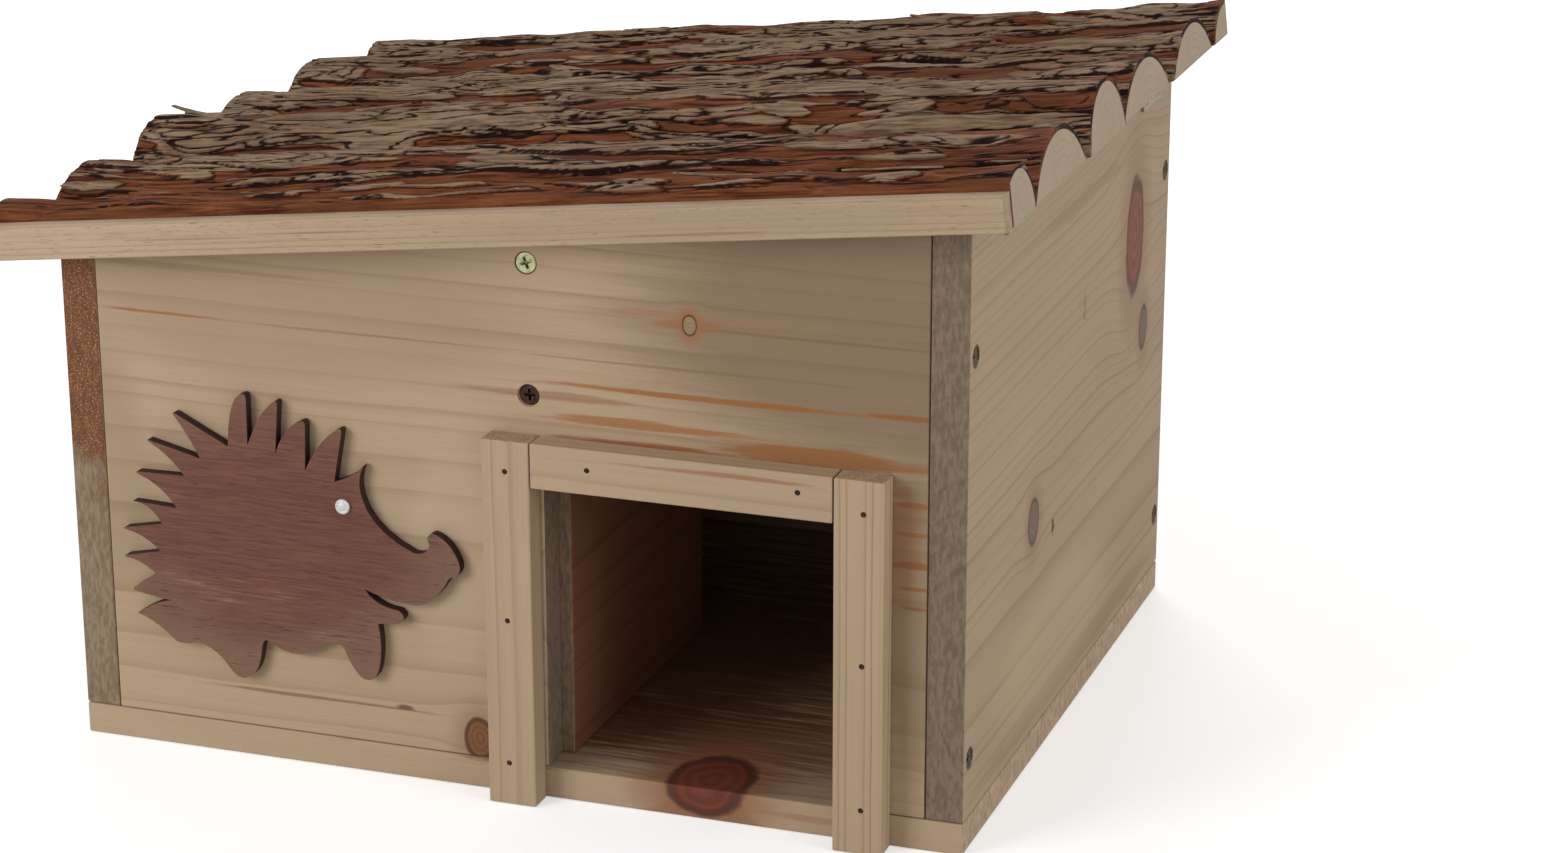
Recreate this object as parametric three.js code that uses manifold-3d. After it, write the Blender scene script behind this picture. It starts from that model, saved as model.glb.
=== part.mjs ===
// Hedgehog house: a box of pine boards with an entrance, and a hinged lid of bark-covered log slabs.
// Millimetres, +Z up, front towards -Y. The origin is the middle of the floor board's underside.
import * as THREE from 'three';
import { mergeVertices } from 'three/addons/utils/BufferGeometryUtils.js';
import Module from 'manifold-3d';

const wasm = await Module();
wasm.setup();

// Body
const fit = 0.3; // gap between pieces that touch
const overrun = 5; // how far a cutter reaches past the face that it opens
const bodyWidth = 350;
const bodyDepth = 288;
const floorThick = 12;
const boardThick = 14;
const eavesHeight = 192.8; // roof underside over the left wall's outer face
const roofSlope = THREE.MathUtils.degToRad(6.63); // the lid rises from left to right

// Entrance and its frame
const doorLeft = 15.4; // inner face of the left post
const doorWidth = 114.2;
const doorTop = 123.7;
const doorReveal = 1; // wall showing beside each post
const frameThick = 10.4;
const postWidth = 18.5;
const lintelHeight = 17;

// Partition
const partitionLeft = 7;
const partitionLength = 136;
const partitionHeadroom = 2;
const partitionScrewInset = 4.5; // from the partition's left face to the screws
const upperScrewShare = 0.951; // of the roof's height there
const lowerScrewRise = 14.3; // above the entrance frame

// Hedgehog plaque
const plaqueLeft = -154.2;
const plaqueBottom = 33;
const plaqueWidth = 139;
const plaqueHeight = 113;
const plaqueThick = 4;
const eyeDiameter = 5.8;
const eyeThick = 1;
const eyePlaceShares = [0.669, 0.648];
const spineTipRound = 3; // each spine is rounded over this length at its tip

// Wood screws
const screwHead = 8;
const screwHeadDepth = 2.6;
const screwShank = 4;
const screwLength = 36;
const screwRecess = 0.6; // head below the board's face
const lowSideScrewShare = 0.15; // of the side wall's height
const highSideScrewShare = 0.788;

// Lid
const leftOverhang = 20;
const rightOverhang = 17.2;
const frontOverhang = 18.7;
const fasciaThick = 7.7;
const fasciaHeight = 12.7;
const slabWidths = [30.3, 70.7, 53.4, 74.7, 68.5, 24.8]; // from front to back
const slabCrowns = [19.6, 20, 24, 19, 18, 15]; // height over the flat side
const frontSlabUncut = 39.2; // the front and back slabs are trimmed from wider ones
const backSlabUncut = 42;
const slabLeftTrims = [0, 3, 1, 5, 2, 7];
const slabRightTrims = [0, 1, 0, 1.5, 0.5, 0];
const slabEdgeThick = 1;

// Bark plates: long raised places on the slabs' rounds, with hollows between them
const barkRelief = 2.4; // depth of the hollows
const barkFadeHeight = 6; // below this height over the flat side the relief dies out
const plateLength = 112;
const plateWidth = 22;
const plateBendLength = 87; // the plates sway over this length
const plateBendWidth = 31;
const plateBendShares = [0.35, 0.22]; // of the plates' length and width
const plateStartShares = [0.27, 0.14]; // the pattern moves on by this from slab to slab
const barkStepLength = 14;
const barkEndFade = 24; // the hollows get shallower this close to the sawn ends
const battenWidth = 22;
const battenThick = 10;
const battenSideGap = 4; // from the side walls' inner faces
const battenEndGap = 8; // from the front and back walls' inner faces

// Hinges
const hingeLength = 30;
const barrelDiameter = 5;
const pinDiameter = 2;
const leafThick = 1.2;
const leafWidth = 12.5; // from the axis to the leaf's edge
const leafScrewOffset = 7.8; // from the axis
const leafScrewSpacing = 18;
const leafScrewHead = 4.4;
const leafScrewShank = 2.2;
const leafScrewLength = 9;
const frontHingePlace = 55; // hinge middle, behind the front wall's face
const backHingePlace = 250;

// Prop rod
const propPlace = 150; // behind the front wall's face
const rodDiameter = 3;
const rodLength = 105; // from the pivot to the foot
const crossPinDiameter = 2;
const earThick = 1.2;
const earHeight = 8;
const earWidth = 10;
const earSpacing = 4; // clear width between the ears
const pivotDrop = 4.6; // pivot below the batten's underside

// Counts of flat sides on round forms
const barkRows = 20;
const curveSegments = 5;
const smallRoundSides = 16;

const frontFace = -bodyDepth / 2;
const backFace = bodyDepth / 2;
const leftFace = -bodyWidth / 2;
const rightFace = bodyWidth / 2;
const wallFoot = floorThick + fit;

const paint = (color, roughness, metalness = 0) =>
  new THREE.MeshStandardMaterial({ color, roughness, metalness });
const pine = () => paint(0xcdb088, 0.75);
const palePine = () => paint(0xd9c09a, 0.75);
const bark = () => paint(0x6b4a38, 0.95);
const stain = () => paint(0x7a4536, 0.8);
const eyePaint = () => paint(0xd5d8d6, 0.5);
const steel = () => paint(0x9a9a94, 0.35, 1);
const zinc = () => paint(0xb39a5a, 0.35, 1);

const part = new THREE.Group();
const lid = new THREE.Group(); // along the slope in X, with the roof's underside at Z = 0
lid.position.set(leftFace, 0, eavesHeight);
lid.rotation.y = -roofSlope;
part.add(lid);

function addMesh(parent, name, geometry, material) {
  const mesh = new THREE.Mesh(geometry, material);
  mesh.name = name;
  parent.add(mesh);
}

// Solids for cutting and joining

function toSolid(geometry) {
  const bare = geometry.clone();
  bare.deleteAttribute('normal');
  bare.deleteAttribute('uv');
  const merged = mergeVertices(bare);
  return new wasm.Manifold(new wasm.Mesh({
    numProp: 3,
    vertProperties: new Float32Array(merged.attributes.position.array),
    triVerts: new Uint32Array(merged.index.array),
  }));
}

function toGeometry(solid) {
  const mesh = solid.getMesh();
  const geometry = new THREE.BufferGeometry();
  geometry.setAttribute('position', new THREE.BufferAttribute(new Float32Array(mesh.vertProperties), 3));
  geometry.setIndex(new THREE.BufferAttribute(new Uint32Array(mesh.triVerts), 1));
  return geometry;
}

function cut(geometry, cutters) {
  const solid = cutters.reduce((rest, cutter) => rest.subtract(toSolid(cutter)), toSolid(geometry));
  return toGeometry(solid);
}

function join(geometries) {
  const solid = geometries.slice(1).reduce((sum, next) => sum.add(toSolid(next)), toSolid(geometries[0]));
  return toGeometry(solid);
}

// Basic shapes

function box(x0, x1, y0, y1, z0, z1) {
  const geometry = new THREE.BoxGeometry(x1 - x0, y1 - y0, z1 - z0);
  geometry.translate((x0 + x1) / 2, (y0 + y1) / 2, (z0 + z1) / 2);
  return geometry;
}

// A shape drawn in X and Z, pulled from y0 to y1
function alongY(shape, y0, y1, segments = curveSegments) {
  const geometry = new THREE.ExtrudeGeometry(shape, {
    depth: y1 - y0, bevelEnabled: false, steps: 1, curveSegments: segments,
  });
  geometry.rotateX(Math.PI / 2);
  geometry.translate(0, y1, 0);
  return geometry;
}

// A shape drawn in Y and Z, pulled from x0 to x1
function alongX(shape, x0, x1, segments = curveSegments) {
  const geometry = new THREE.ExtrudeGeometry(shape, {
    depth: x1 - x0, bevelEnabled: false, steps: 1, curveSegments: segments,
  });
  geometry.applyMatrix4(new THREE.Matrix4().makeBasis(
    new THREE.Vector3(0, 1, 0), new THREE.Vector3(0, 0, 1), new THREE.Vector3(1, 0, 0)));
  geometry.translate(x0, 0, 0);
  return geometry;
}

function polygon(points) {
  return new THREE.Shape(points.map(([across, up]) => new THREE.Vector2(across, up)));
}

// A round bar along Y
function rodAlongY(diameter, x, y0, y1, z) {
  const geometry = new THREE.CylinderGeometry(diameter / 2, diameter / 2, y1 - y0, smallRoundSides);
  geometry.translate(x, (y0 + y1) / 2, z);
  return geometry;
}

function roofHeight(x) {
  return eavesHeight + (x - leftFace) * Math.tan(roofSlope);
}

// A board in X and Z whose top follows the lid
function underLid(x0, x1, z0, headroom) {
  return polygon([[x0, z0], [x1, z0], [x1, roofHeight(x1) - headroom], [x0, roofHeight(x0) - headroom]]);
}

// Screws: turned about Y with the head up, then turned to face outward

function screwProfile(head, headDepth, shank, length, spare, above) {
  const shankRadius = shank / 2 + spare;
  const headRadius = head / 2 + spare;
  const points = [[0, -length - spare], [shankRadius, shankRadius - length - spare],
    [shankRadius, -headDepth - spare], [headRadius, above > 0 ? -spare : 0]];
  if (above > 0) points.push([headRadius, above]);
  points.push([0, above]);
  return new THREE.LatheGeometry(points.map(([r, up]) => new THREE.Vector2(r, up)), smallRoundSides);
}

function facing(geometry, outward, headPoint) {
  const turn = new THREE.Quaternion().setFromUnitVectors(new THREE.Vector3(0, 1, 0), outward);
  geometry.applyQuaternion(turn);
  geometry.translate(headPoint.x, headPoint.y, headPoint.z);
  return geometry;
}

function woodScrew(outward, headPoint) {
  return facing(screwProfile(screwHead, screwHeadDepth, screwShank, screwLength, 0, 0), outward, headPoint);
}

function woodScrewHole(outward, headPoint) {
  return facing(
    screwProfile(screwHead, screwHeadDepth, screwShank, screwLength, fit, overrun), outward, headPoint);
}

const outwardLeft = new THREE.Vector3(-1, 0, 0);
const outwardRight = new THREE.Vector3(1, 0, 0);
const outwardFront = new THREE.Vector3(0, -1, 0);
const downward = new THREE.Vector3(0, 0, -1);

const partitionScrewX = partitionLeft + partitionScrewInset;
const partitionScrews = [
  ['partition_screw_upper', upperScrewShare * roofHeight(partitionScrewX)],
  ['partition_screw_lower', doorTop + lintelHeight + lowerScrewRise],
].map(([name, height]) => ({
  name, outward: outwardFront,
  head: new THREE.Vector3(partitionScrewX, frontFace + screwRecess, height),
}));

const frontScrewPlace = frontFace + boardThick / 2;
const backScrewPlace = backFace - boardThick / 2;
const sideScrews = [
  ['left', outwardLeft, leftFace + screwRecess],
  ['right', outwardRight, rightFace - screwRecess],
].flatMap(([side, outward, x]) => [
  ['front', frontScrewPlace], ['back', backScrewPlace],
].flatMap(([end, y]) => [['low', lowSideScrewShare], ['high', highSideScrewShare]].map(([level, share]) => ({
  name: `wall_screw_${side}_${end}_${level}`, side, end, outward,
  head: new THREE.Vector3(x, y, share * roofHeight(x)),
}))));

const holesOf = (screws) => screws.map((screw) => woodScrewHole(screw.outward, screw.head));

function addScrews() {
  for (const screw of [...partitionScrews, ...sideScrews]) {
    addMesh(part, screw.name, woodScrew(screw.outward, screw.head), zinc());
  }
}

// Hinge places, shared by the leaves and the boards that they are screwed to

const barrelRadius = barrelDiameter / 2;
const axisX = rightFace + fit + barrelRadius;
const axisDrop = -(fit + barrelRadius); // below the roof's underside, square to it
const axisAlong = (axisX - leftFace + axisDrop * Math.sin(roofSlope)) / Math.cos(roofSlope);
const axisHeight = eavesHeight + axisAlong * Math.sin(roofSlope) + axisDrop * Math.cos(roofSlope);
const hinges = [
  { name: 'hinge_front', y: frontFace + frontHingePlace },
  { name: 'hinge_back', y: frontFace + backHingePlace },
];
const leafScrewRows = [['front', -leafScrewSpacing / 2], ['back', leafScrewSpacing / 2]];
const leafScrewHeadDepth = leafThick;

// The head fills the leaf's hole, and its face is flush with the leaf
function leafScrewShape(spare, above) {
  const headRadius = leafScrewHead / 2 + spare;
  const shankRadius = leafScrewShank / 2 + spare;
  const points = [[0, -leafScrewLength - spare], [shankRadius, -leafScrewLength - spare],
    [shankRadius, -leafScrewHeadDepth], [headRadius, -leafScrewHeadDepth], [headRadius, above], [0, above]];
  return new THREE.LatheGeometry(points.map(([r, up]) => new THREE.Vector2(r, up)), smallRoundSides);
}

const leafScrewPlace = {
  wall: (hinge, offset) => new THREE.Vector3(
    rightFace + fit + leafThick, hinge.y + offset, axisHeight - leafScrewOffset),
  lid: (hinge, offset) => new THREE.Vector3(axisAlong + leafScrewOffset, hinge.y + offset, -fit - leafThick),
};
const leafOutward = { wall: outwardRight, lid: downward };

function leafScrewHoles(side, spare) {
  return hinges.flatMap((hinge) => leafScrewRows.map(([, offset]) =>
    facing(leafScrewShape(spare, overrun), leafOutward[side], leafScrewPlace[side](hinge, offset))));
}

// Only the shanks reach the boards, so their holes are as wide as the shank
function boardScrewHoles(side) {
  return hinges.flatMap((hinge) => leafScrewRows.map(([, offset]) => {
    const hole = new THREE.CylinderGeometry(
      leafScrewShank / 2 + fit, leafScrewShank / 2 + fit, leafScrewLength + overrun, smallRoundSides);
    hole.translate(0, (overrun - leafScrewLength) / 2 - fit, 0);
    return facing(hole, leafOutward[side], leafScrewPlace[side](hinge, offset));
  }));
}

// Body boards

function addFloor() {
  addMesh(part, 'floor_board', box(leftFace, rightFace, frontFace, backFace, 0, floorThick), pine());
}

function addWalls() {
  const innerLeft = leftFace + boardThick + fit;
  const innerRight = rightFace - boardThick - fit;
  const cross = underLid(innerLeft, innerRight, wallFoot, fit);
  const entrance = box(doorLeft + doorReveal, doorLeft + doorWidth - doorReveal,
    frontFace - overrun, frontFace + boardThick + overrun, wallFoot - overrun, doorTop);
  const frontScrews = sideScrews.filter((screw) => screw.end === 'front');
  const backScrews = sideScrews.filter((screw) => screw.end === 'back');
  addMesh(part, 'front_wall', cut(alongY(cross, frontFace, frontFace + boardThick),
    [entrance, ...holesOf(partitionScrews), ...holesOf(frontScrews)]), palePine());
  addMesh(part, 'back_wall', cut(alongY(cross, backFace - boardThick, backFace), holesOf(backScrews)), pine());
  const leftShape = underLid(leftFace, leftFace + boardThick, wallFoot, fit);
  const rightShape = underLid(rightFace - boardThick, rightFace, wallFoot, fit);
  addMesh(part, 'left_wall', cut(alongY(leftShape, frontFace, backFace),
    holesOf(sideScrews.filter((screw) => screw.side === 'left'))), pine());
  addMesh(part, 'right_wall', cut(alongY(rightShape, frontFace, backFace),
    [...holesOf(sideScrews.filter((screw) => screw.side === 'right')), ...boardScrewHoles('wall')]), pine());
}

function addPartition() {
  const shape = underLid(partitionLeft, partitionLeft + boardThick, wallFoot, partitionHeadroom);
  const start = frontFace + boardThick + fit;
  addMesh(part, 'partition', cut(alongY(shape, start, start + partitionLength), holesOf(partitionScrews)), pine());
}

// Entrance frame on the front wall

function addFrame() {
  const y0 = frontFace - fit - frameThick;
  const y1 = frontFace - fit;
  const doorRight = doorLeft + doorWidth;
  const frameTop = doorTop + lintelHeight;
  addMesh(part, 'frame_post_left', box(doorLeft - postWidth, doorLeft, y0, y1, 0, frameTop), palePine());
  addMesh(part, 'frame_post_right', box(doorRight, doorRight + postWidth, y0, y1, 0, frameTop), palePine());
  addMesh(part, 'frame_lintel', box(doorLeft + fit, doorRight - fit, y0, y1, doorTop, frameTop), palePine());
}

// Hedgehog outline, in shares of the plaque's width and height.
// Each spine is its tip, the bend of its lower edge and the notch after it.
const spineShares = [
  [[0.675, 0.919], [0.6, 0.86], [0.562, 0.754]],
  [[0.568, 0.93], [0.5, 0.89], [0.477, 0.8]],
  [[0.49, 0.99], [0.43, 0.93], [0.396, 0.818]],
  [[0.398, 1], [0.345, 0.97], [0.338, 0.807]],
  [[0.171, 0.909], [0.222, 0.83], [0.254, 0.754]],
  [[0.088, 0.802], [0.165, 0.75], [0.204, 0.687]],
  [[0.049, 0.683], [0.135, 0.645], [0.176, 0.572]],
  [[0.034, 0.579], [0.1, 0.572], [0.13, 0.51]],
  [[0.002, 0.478], [0.075, 0.465], [0.12, 0.412]],
  [[0, 0.38], [0.065, 0.37], [0.103, 0.33]],
  [[0.022, 0.263], [0.09, 0.25], [0.145, 0.242]],
];
// The rest runs from the tail under the belly and round the head to the brow, as bends and ends.
const bellyShares = [
  [[0.1, 0.235], [0.04, 0.182]], [[0.09, 0.17], [0.155, 0.098]], [[0.185, 0.09], [0.216, 0.104]],
  [[0.27, 0.1], [0.309, 0.034]], [[0.345, -0.03], [0.385, 0.02]], [[0.405, 0.045], [0.412, 0.116]],
  [[0.418, 0.16], [0.44, 0.137]], [[0.52, 0.075], [0.59, 0.15]], [[0.65, 0.195], [0.665, 0.125]],
  [[0.7, 0.045], [0.719, 0.052]], [[0.75, 0.045], [0.76, 0.115]], [[0.77, 0.19], [0.758, 0.253]],
  [[0.79, 0.262], [0.815, 0.262]], [[0.85, 0.285], [0.82, 0.309]], [[0.75, 0.315], [0.722, 0.37]],
  [[0.79, 0.335], [0.873, 0.335]], [[0.92, 0.345], [0.958, 0.421]], [[0.97, 0.455], [0.985, 0.448]],
  [[1.015, 0.475], [0.983, 0.536]], [[0.96, 0.58], [0.924, 0.59]], [[0.9, 0.58], [0.914, 0.553]],
  [[0.91, 0.51], [0.868, 0.515]], [[0.75, 0.575], [0.724, 0.683]], [[0.71, 0.74], [0.731, 0.793]],
];
const browNotchShares = [0.646, 0.728];
const browBendShares = [0.7, 0.75];

function plaquePoint([acrossShare, upShare]) {
  return new THREE.Vector2(plaqueLeft + acrossShare * plaqueWidth, plaqueBottom + upShare * plaqueHeight);
}

function bend(shape, bendShares, endShares) {
  const control = plaquePoint(bendShares);
  const end = plaquePoint(endShares);
  shape.quadraticCurveTo(control.x, control.y, end.x, end.y);
}

function addPlaque() {
  const shape = new THREE.Shape();
  const start = plaquePoint(browNotchShares);
  shape.moveTo(start.x, start.y);
  for (const [tip, middle, notch] of spineShares) {
    const point = plaquePoint(tip);
    const before = shape.currentPoint.clone().sub(point).setLength(spineTipRound).add(point);
    const after = plaquePoint(middle).sub(point).setLength(spineTipRound).add(point);
    shape.lineTo(before.x, before.y);
    shape.quadraticCurveTo(point.x, point.y, after.x, after.y);
    bend(shape, middle, notch);
  }
  for (const [middle, end] of bellyShares) bend(shape, middle, end);
  bend(shape, browBendShares, browNotchShares);
  const face = frontFace - fit - plaqueThick;
  addMesh(part, 'hedgehog_plaque', alongY(shape, face, frontFace - fit), stain());
  const eye = plaquePoint(eyePlaceShares);
  addMesh(part, 'plaque_eye', rodAlongY(eyeDiameter, eye.x, face - fit - eyeThick, face - fit, eye.y), eyePaint());
}

// Lid

const slopeStart = -leftOverhang / Math.cos(roofSlope);
const slopeEnd = (bodyWidth + rightOverhang) / Math.cos(roofSlope);

// From -1 in the middle of a hollow to 1 in the middle of a plate
function plateWave(along, around, index) {
  const turn = 2 * Math.PI;
  const lengthwise = along / plateLength + plateStartShares[0] * index
    + plateBendShares[0] * Math.sin(turn * around / plateBendWidth + index);
  const crosswise = around / plateWidth + plateStartShares[1] * index
    + plateBendShares[1] * Math.sin(turn * along / plateBendLength + 2 * index);
  return Math.sin(turn * lengthwise) * Math.sin(turn * crosswise);
}

// A flat side and a round top with bark plates, trimmed where the slab was sawn.
// Each ring of points runs from the flat side's middle round the slab, seen from its high end.
function slab(index, x0, x1, y0, y1, crownY, crown, halfWidth) {
  const radius = (halfWidth * halfWidth + crown * crown) / (2 * crown);
  const centre = crown - radius;
  const edgeAngle = Math.asin((slabEdgeThick - centre) / radius);
  const first = Math.max(Math.acos(Math.min(1, (y1 - crownY) / radius)), edgeAngle);
  const last = Math.min(Math.acos(Math.max(-1, (y0 - crownY) / radius)), Math.PI - edgeAngle);
  const steps = Math.round((x1 - x0) / barkStepLength);
  const positions = [];
  for (let step = 0; step <= steps; step += 1) {
    const x = x0 + (x1 - x0) * step / steps;
    const depth = barkRelief * Math.min(1, (x - x0) / barkEndFade, (x1 - x) / barkEndFade);
    positions.push(x, (y0 + y1) / 2, 0, x, y1, 0);
    for (let row = 0; row <= barkRows; row += 1) {
      const angle = first + (last - first) * row / barkRows;
      const round = centre + radius * Math.sin(angle);
      const hollow = (1 - plateWave(x, radius * angle, index)) / 2;
      const reach = radius - depth * hollow * Math.min(1, (round - slabEdgeThick) / barkFadeHeight);
      positions.push(x, crownY + reach * Math.cos(angle), centre + reach * Math.sin(angle));
    }
    positions.push(x, y0, 0);
  }
  const ring = positions.length / (3 * (steps + 1));
  const triangles = [];
  for (let step = 0; step < steps; step += 1) {
    for (let place = 0; place < ring; place += 1) {
      const near = step * ring + place;
      const nearNext = step * ring + (place + 1) % ring;
      triangles.push(near, nearNext, nearNext + ring, near, nearNext + ring, near + ring);
    }
  }
  const end = steps * ring;
  for (let place = 1; place < ring - 1; place += 1) {
    triangles.push(0, place + 1, place, end, end + place, end + place + 1);
  }
  const geometry = new THREE.BufferGeometry();
  geometry.setAttribute('position', new THREE.BufferAttribute(new Float32Array(positions), 3));
  geometry.setIndex(triangles);
  return geometry;
}

function addSlabs() {
  let edge = frontFace - frontOverhang + fasciaThick + fit;
  slabWidths.forEach((width, index) => {
    const last = slabWidths.length - 1;
    const y0 = edge;
    const y1 = edge + width - (index < last ? fit : 0);
    const uncut = index === 0 ? frontSlabUncut : index === last ? backSlabUncut : y1 - y0;
    const crownY = index === 0 ? y1 - uncut / 2 : y0 + uncut / 2;
    const body = slab(index, slopeStart + slabLeftTrims[index], slopeEnd - slabRightTrims[index],
      y0, y1, crownY, slabCrowns[index], uncut / 2);
    addMesh(lid, `roof_slab_${index + 1}`, cut(body, boardScrewHoles('lid')), bark());
    edge += width;
  });
}

function addFascia() {
  const y0 = frontFace - frontOverhang;
  addMesh(lid, 'roof_fascia', box(slopeStart, slopeEnd, y0, y0 + fasciaThick, 0, fasciaHeight), palePine());
}

const battenLeftStart = (boardThick + battenSideGap) / Math.cos(roofSlope);
const battenRightStart = bodyWidth / Math.cos(roofSlope) - battenLeftStart - battenWidth;

function addBattens() {
  const y0 = frontFace + boardThick + battenEndGap;
  const y1 = backFace - boardThick - battenEndGap;
  for (const [side, start] of [['left', battenLeftStart], ['right', battenRightStart]]) {
    addMesh(lid, `roof_batten_${side}`,
      box(start, start + battenWidth, y0, y1, -fit - battenThick, -fit), pine());
  }
}

// Hinges: the wall leaf carries the outer knuckles, the lid leaf the middle one

function addHinges() {
  const third = hingeLength / 3;
  const bore = pinDiameter + 2 * fit;
  for (const hinge of hinges) {
    const y0 = hinge.y - hingeLength / 2;
    const y1 = hinge.y + hingeLength / 2;
    const m0 = y0 + third;
    const m1 = y1 - third;
    const clear = barrelRadius + fit;
    const wallPlate = box(rightFace + fit, rightFace + fit + leafThick, y0, y1,
      axisHeight - leafWidth, axisHeight);
    const wallMiddle = box(axisX - clear - overrun, axisX + clear, m0 - fit / 2, m1 + fit / 2,
      axisHeight - clear, axisHeight + clear);
    const wallSolid = join([wallPlate, rodAlongY(barrelDiameter, axisX, y0, y1, axisHeight)]);
    addMesh(part, `${hinge.name}_wall_leaf`, cut(wallSolid, [
      wallMiddle, rodAlongY(bore, axisX, y0 - overrun, y1 + overrun, axisHeight),
      ...leafScrewHoles('wall', fit)]), steel());
    const lidPlate = box(axisAlong, axisAlong + leafWidth, y0, y1, -fit - leafThick, -fit);
    const lidEnds = [[y0 - overrun, m0 + fit / 2], [m1 - fit / 2, y1 + overrun]].map(([a, b]) =>
      box(axisAlong - clear, axisAlong + clear, a, b, axisDrop - clear, axisDrop + clear));
    const lidSolid = join([lidPlate, rodAlongY(barrelDiameter, axisAlong, m0, m1, axisDrop)]);
    addMesh(lid, `${hinge.name}_lid_leaf`, cut(lidSolid, [
      ...lidEnds, rodAlongY(bore, axisAlong, y0 - overrun, y1 + overrun, axisDrop),
      ...leafScrewHoles('lid', fit)]), steel());
    addMesh(part, `${hinge.name}_pin`, rodAlongY(pinDiameter, axisX, y0, y1, axisHeight), steel());
    for (const [row, offset] of leafScrewRows) {
      addMesh(part, `${hinge.name}_screw_wall_${row}`,
        facing(leafScrewShape(0, 0), leafOutward.wall, leafScrewPlace.wall(hinge, offset)), zinc());
      addMesh(lid, `${hinge.name}_screw_lid_${row}`,
        facing(leafScrewShape(0, 0), leafOutward.lid, leafScrewPlace.lid(hinge, offset)), zinc());
    }
  }
}

// Prop rod, folded flat under the lid, on a bracket under the left batten

function addProp() {
  const y = frontFace + propPlace;
  const pivotX = battenLeftStart + battenWidth / 2;
  const top = -fit - battenThick - fit;
  const pivotZ = top - pivotDrop;
  const half = earSpacing / 2 + earThick;
  const channel = polygon([
    [y - half, top], [y - half, top - earHeight], [y - half + earThick, top - earHeight],
    [y - half + earThick, top - earThick], [y + half - earThick, top - earThick],
    [y + half - earThick, top - earHeight], [y + half, top - earHeight], [y + half, top]]);
  const bracket = cut(alongX(channel, pivotX - earWidth / 2, pivotX + earWidth / 2), [
    rodAlongY(crossPinDiameter + 2 * fit, pivotX, y - half - overrun, y + half + overrun, pivotZ)]);
  addMesh(lid, 'prop_bracket', bracket, steel());
  const bar = new THREE.CylinderGeometry(rodDiameter / 2, rodDiameter / 2, rodLength, smallRoundSides);
  bar.rotateZ(Math.PI / 2);
  bar.translate(pivotX + rodLength / 2, y, pivotZ);
  const crossPin = rodAlongY(crossPinDiameter, pivotX, y - half, y + half, pivotZ);
  addMesh(lid, 'prop_rod', join([bar, crossPin]), steel());
}

addFloor();
addWalls();
addPartition();
addFrame();
addPlaque();
addScrews();
addSlabs();
addFascia();
addBattens();
addHinges();
addProp();

export default part;
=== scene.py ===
import math
import random

import bmesh
import bpy
import numpy as np
from mathutils import Matrix, Vector


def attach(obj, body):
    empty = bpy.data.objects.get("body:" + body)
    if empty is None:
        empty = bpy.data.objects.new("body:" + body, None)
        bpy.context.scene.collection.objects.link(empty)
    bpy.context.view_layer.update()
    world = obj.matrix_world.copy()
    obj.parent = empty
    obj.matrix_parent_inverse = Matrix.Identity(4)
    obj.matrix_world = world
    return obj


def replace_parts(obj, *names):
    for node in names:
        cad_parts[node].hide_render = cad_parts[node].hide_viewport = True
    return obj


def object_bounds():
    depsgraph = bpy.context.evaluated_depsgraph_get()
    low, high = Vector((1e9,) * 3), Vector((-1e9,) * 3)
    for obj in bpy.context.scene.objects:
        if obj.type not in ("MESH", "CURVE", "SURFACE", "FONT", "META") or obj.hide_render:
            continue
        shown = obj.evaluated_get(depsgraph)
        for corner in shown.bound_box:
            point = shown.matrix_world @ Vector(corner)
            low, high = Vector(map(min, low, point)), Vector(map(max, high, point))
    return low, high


ops = bmesh.ops
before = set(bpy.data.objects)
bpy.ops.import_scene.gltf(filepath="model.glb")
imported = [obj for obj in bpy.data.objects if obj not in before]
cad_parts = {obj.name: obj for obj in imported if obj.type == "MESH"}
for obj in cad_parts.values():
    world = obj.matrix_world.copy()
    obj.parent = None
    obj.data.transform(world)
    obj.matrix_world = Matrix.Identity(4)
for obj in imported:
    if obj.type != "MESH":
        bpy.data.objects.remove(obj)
cad_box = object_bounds()

# Sizes are in metres, and MM turns millimetres into them
MM = 0.001
ROOF_SLOPE = math.radians(6.63)
LEFT_FACE = -175 * MM
FRONT_FACE = -144 * MM
EAVES_HEIGHT = 192.8 * MM
# Lid coordinates: X up the slope, Y to the back, Z square to the slabs' flat sides
LID = Matrix.Translation((LEFT_FACE, 0, EAVES_HEIGHT)) @ Matrix.Rotation(-ROOF_SLOPE, 4, "Y")
FRONTWARD = (0, -1, 0)
DOWN = (0, 0, -1)
FULL_TURN = 2 * math.pi


def in_mm(*points):
    """Points given in millimetres."""
    return [tuple(value * MM for value in point) for point in points]


def tone(red, green, blue):
    """A colour as picked on screen, from 0 to 255, as the linear colour that shaders use."""
    shares = [channel / 255 for channel in (red, green, blue)]
    return tuple(s / 12.92 if s <= 0.04045 else ((s + 0.055) / 1.055) ** 2.4 for s in shares) + (1.0,)


# Node trees


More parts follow.
